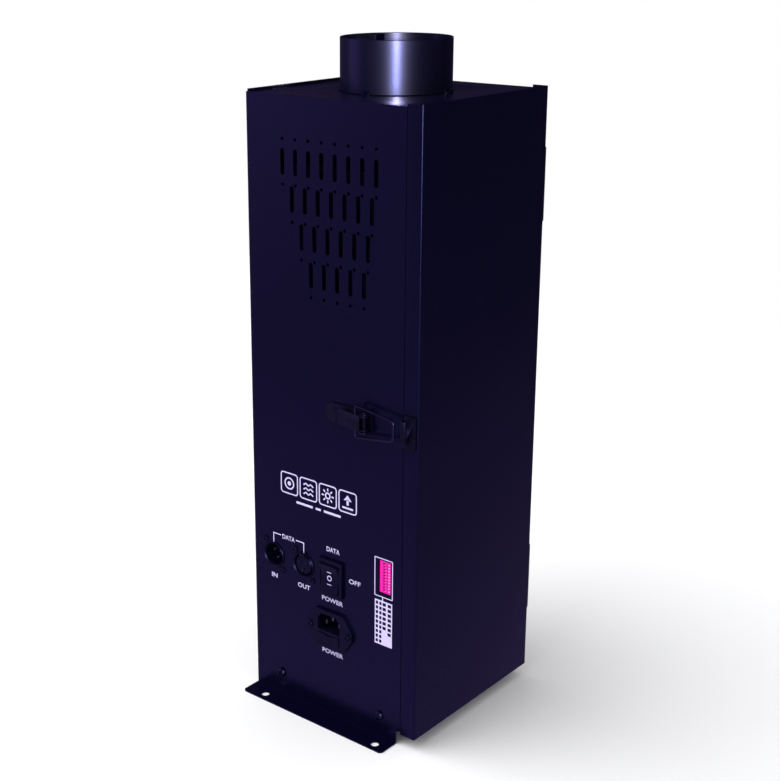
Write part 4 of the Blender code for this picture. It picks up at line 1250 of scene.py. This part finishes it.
class FOG_OT_stage(bpy.types.Operator):
    """The floor, the surroundings, the lights and the camera"""

    bl_idname = "fog.stage"
    bl_label = "Stage"

    CAMERA_SPOT = (0.6726, -0.8698, 0.6342)
    CAMERA_AIM = (-0.6223, 0.7275, -0.2888)
    CAMERA_ROLL = -0.25
    CAMERA_SHIFT = (0.077, -0.05)
    KEY_SPOT = (-0.75, -0.8, 1.4)
    # The place, aim, size and colour of each strip light.
    STRIP = ((1.0, -1.29, 0.48), (0.0, 0.0, 0.48), (0.2, 0.5), (0.45, 0.58, 0.95))
    HIGH_STRIP = ((0.86, -1.1, 1.0), (0.0, 0.0, 0.5), (0.08, 0.8), (0.97, 1.0, 0.9))

    def execute(self, context):
        self.floor()
        self.world(context.scene)
        self.lights()
        self.camera(context.scene)
        context.scene.view_settings.view_transform = "Standard"
        return {"FINISHED"}

    def floor(self):
        half, thick = 1.3, 0.02
        slab = prism("floor", rounded_rect((-half, -half), (half, half), 0.3, 8), "Z", -thick, 0.0)
        finish = Finish("floor", stage_settings().floor, roughness=0.9)
        cloud = finish.noise(3.0, 2.0)
        finish.drive("Roughness", 0.85 + cloud * 0.1)
        slab.data.materials.append(finish.material)
        slab.visible_glossy = False

    def world(self, scene):
        """White behind the object. For its reflections, a dim room that is lighter in front and below."""
        world = bpy.data.worlds.new("surroundings")
        world.use_nodes = True
        scene.world = world
        tree = world.node_tree
        direction = tree.nodes.new("ShaderNodeTexCoord")
        parts = tree.nodes.new("ShaderNodeSeparateXYZ")
        tree.links.new(direction.outputs["Generated"], parts.inputs[0])
        across, ahead, height = (Wire(tree, parts.outputs[name]) for name in "XYZ")
        below = (0.0 - height).above(0.4, 0.3)
        window = (0.0 - across).above(0.66, 0.1) * height.above(-0.16, 0.1) * (0.0 - ahead).above(0.3, 0.2)
        amount = 0.55 - 0.45 * ahead + 1.3 * below + stage_settings().window * window
        dim = tree.nodes["Background"]
        dim.inputs["Color"].default_value = (*stage_settings().room, 1.0)
        tree.links.new(amount.socket, dim.inputs["Strength"])
        seen = self.backing(tree, 1.0)
        soft = self.backing(tree, stage_settings().fill)
        path = tree.nodes.new("ShaderNodeLightPath")
        glossy = self.mixed(tree, path.outputs["Is Glossy Ray"], soft, dim)
        shown = self.mixed(tree, path.outputs["Is Camera Ray"], glossy, seen)
        tree.links.new(shown.outputs[0], tree.nodes["World Output"].inputs["Surface"])

    @staticmethod
    def backing(tree, strength):
        white = tree.nodes.new("ShaderNodeBackground")
        white.inputs["Color"].default_value = (1.0, 1.0, 1.0, 1.0)
        white.inputs["Strength"].default_value = strength
        return white

    @staticmethod
    def mixed(tree, share, first, second):
        mix = tree.nodes.new("ShaderNodeMixShader")
        tree.links.new(share, mix.inputs[0])
        tree.links.new(first.outputs[0], mix.inputs[1])
        tree.links.new(second.outputs[0], mix.inputs[2])
        return mix

    def lights(self):
        """A soft key, and two strips that only show as reflections. The high one lights the chimney alone."""
        settings = stage_settings()
        key = bpy.data.lights.new("key", "SUN")
        key.energy = settings.sun
        key.angle = math.radians(60)
        self.lamp(key, self.KEY_SPOT, (0.0, 0.0, 0.0)).visible_glossy = False
        self.strip("strip", self.STRIP, settings.strip)
        high = self.strip("high_strip", self.HIGH_STRIP, settings.high_strip)
        lit = bpy.data.collections.new("lit_by_high_strip")
        lit.objects.link(bpy.data.objects["chimney_tube"])
        high.light_linking.receiver_collection = lit

    def strip(self, name, strip, power):
        """A light that only shows as a reflection."""
        spot, aim, size, colour = strip
        light = bpy.data.lights.new(name, "AREA")
        light.shape = "RECTANGLE"
        light.size, light.size_y = size
        light.energy = power
        light.color = colour
        lamp = self.lamp(light, spot, aim)
        lamp.visible_diffuse = False
        lamp.visible_camera = False
        return lamp

    @staticmethod
    def lamp(light, spot, aim):
        lamp = linked(light.name, light)
        lamp.location = spot
        lamp.rotation_euler = (Vector(aim) - Vector(spot)).to_track_quat("-Z", "Y").to_euler()
        return lamp

    def camera(self, scene):
        lens = bpy.data.cameras.new("camera")
        lens.lens = stage_settings().lens
        lens.sensor_width = 36.0
        lens.shift_x, lens.shift_y = self.CAMERA_SHIFT
        view = linked("camera", lens)
        view.location = self.CAMERA_SPOT
        turn = Vector(self.CAMERA_AIM).to_track_quat("-Z", "Y").to_matrix()
        view.rotation_euler = (turn @ Matrix.Rotation(math.radians(self.CAMERA_ROLL), 3, "Z")).to_euler()
        scene.camera = view


# ---- Panel and registration ----

OPERATORS = (
    FOG_OT_case,
    FOG_OT_chimney,
    FOG_OT_screws,
    FOG_OT_latch,
    FOG_OT_hinges,
    FOG_OT_data_sockets,
    FOG_OT_power_switch,
    FOG_OT_power_inlet,
    FOG_OT_address_switches,
    FOG_OT_print,
    FOG_OT_inside,
    FOG_OT_stage,
)


class FOG_PT_panel(bpy.types.Panel):
    """Settings of the fog machine, and a button for each group of pieces"""

    bl_idname = "FOG_PT_panel"
    bl_label = "Fog machine"
    bl_space_type = "VIEW_3D"
    bl_region_type = "UI"
    bl_category = "Fog machine"

    def draw(self, context):
        scene = context.scene
        for group in (scene.fog_sizes, scene.fog_colours, scene.fog_stage):
            box = self.layout.box()
            for name in group.__annotations__:
                box.prop(group, name)
        for operator in OPERATORS:
            self.layout.operator(operator.bl_idname)


GROUPS = {"fog_sizes": FogSizes, "fog_colours": FogColours, "fog_stage": FogStage}
CLASSES = (*GROUPS.values(), *OPERATORS, FOG_PT_panel)


def register():
    for cls in CLASSES:
        bpy.utils.register_class(cls)
    for name, group in GROUPS.items():
        setattr(bpy.types.Scene, name, bpy.props.PointerProperty(type=group))


def unregister():
    for name in GROUPS:
        delattr(bpy.types.Scene, name)
    for cls in reversed(CLASSES):
        bpy.utils.unregister_class(cls)


def main():
    register()
    for operator in OPERATORS:
        group, name = operator.bl_idname.split(".")
        getattr(getattr(bpy.ops, group), name)()


if __name__ == "__main__":
    main()
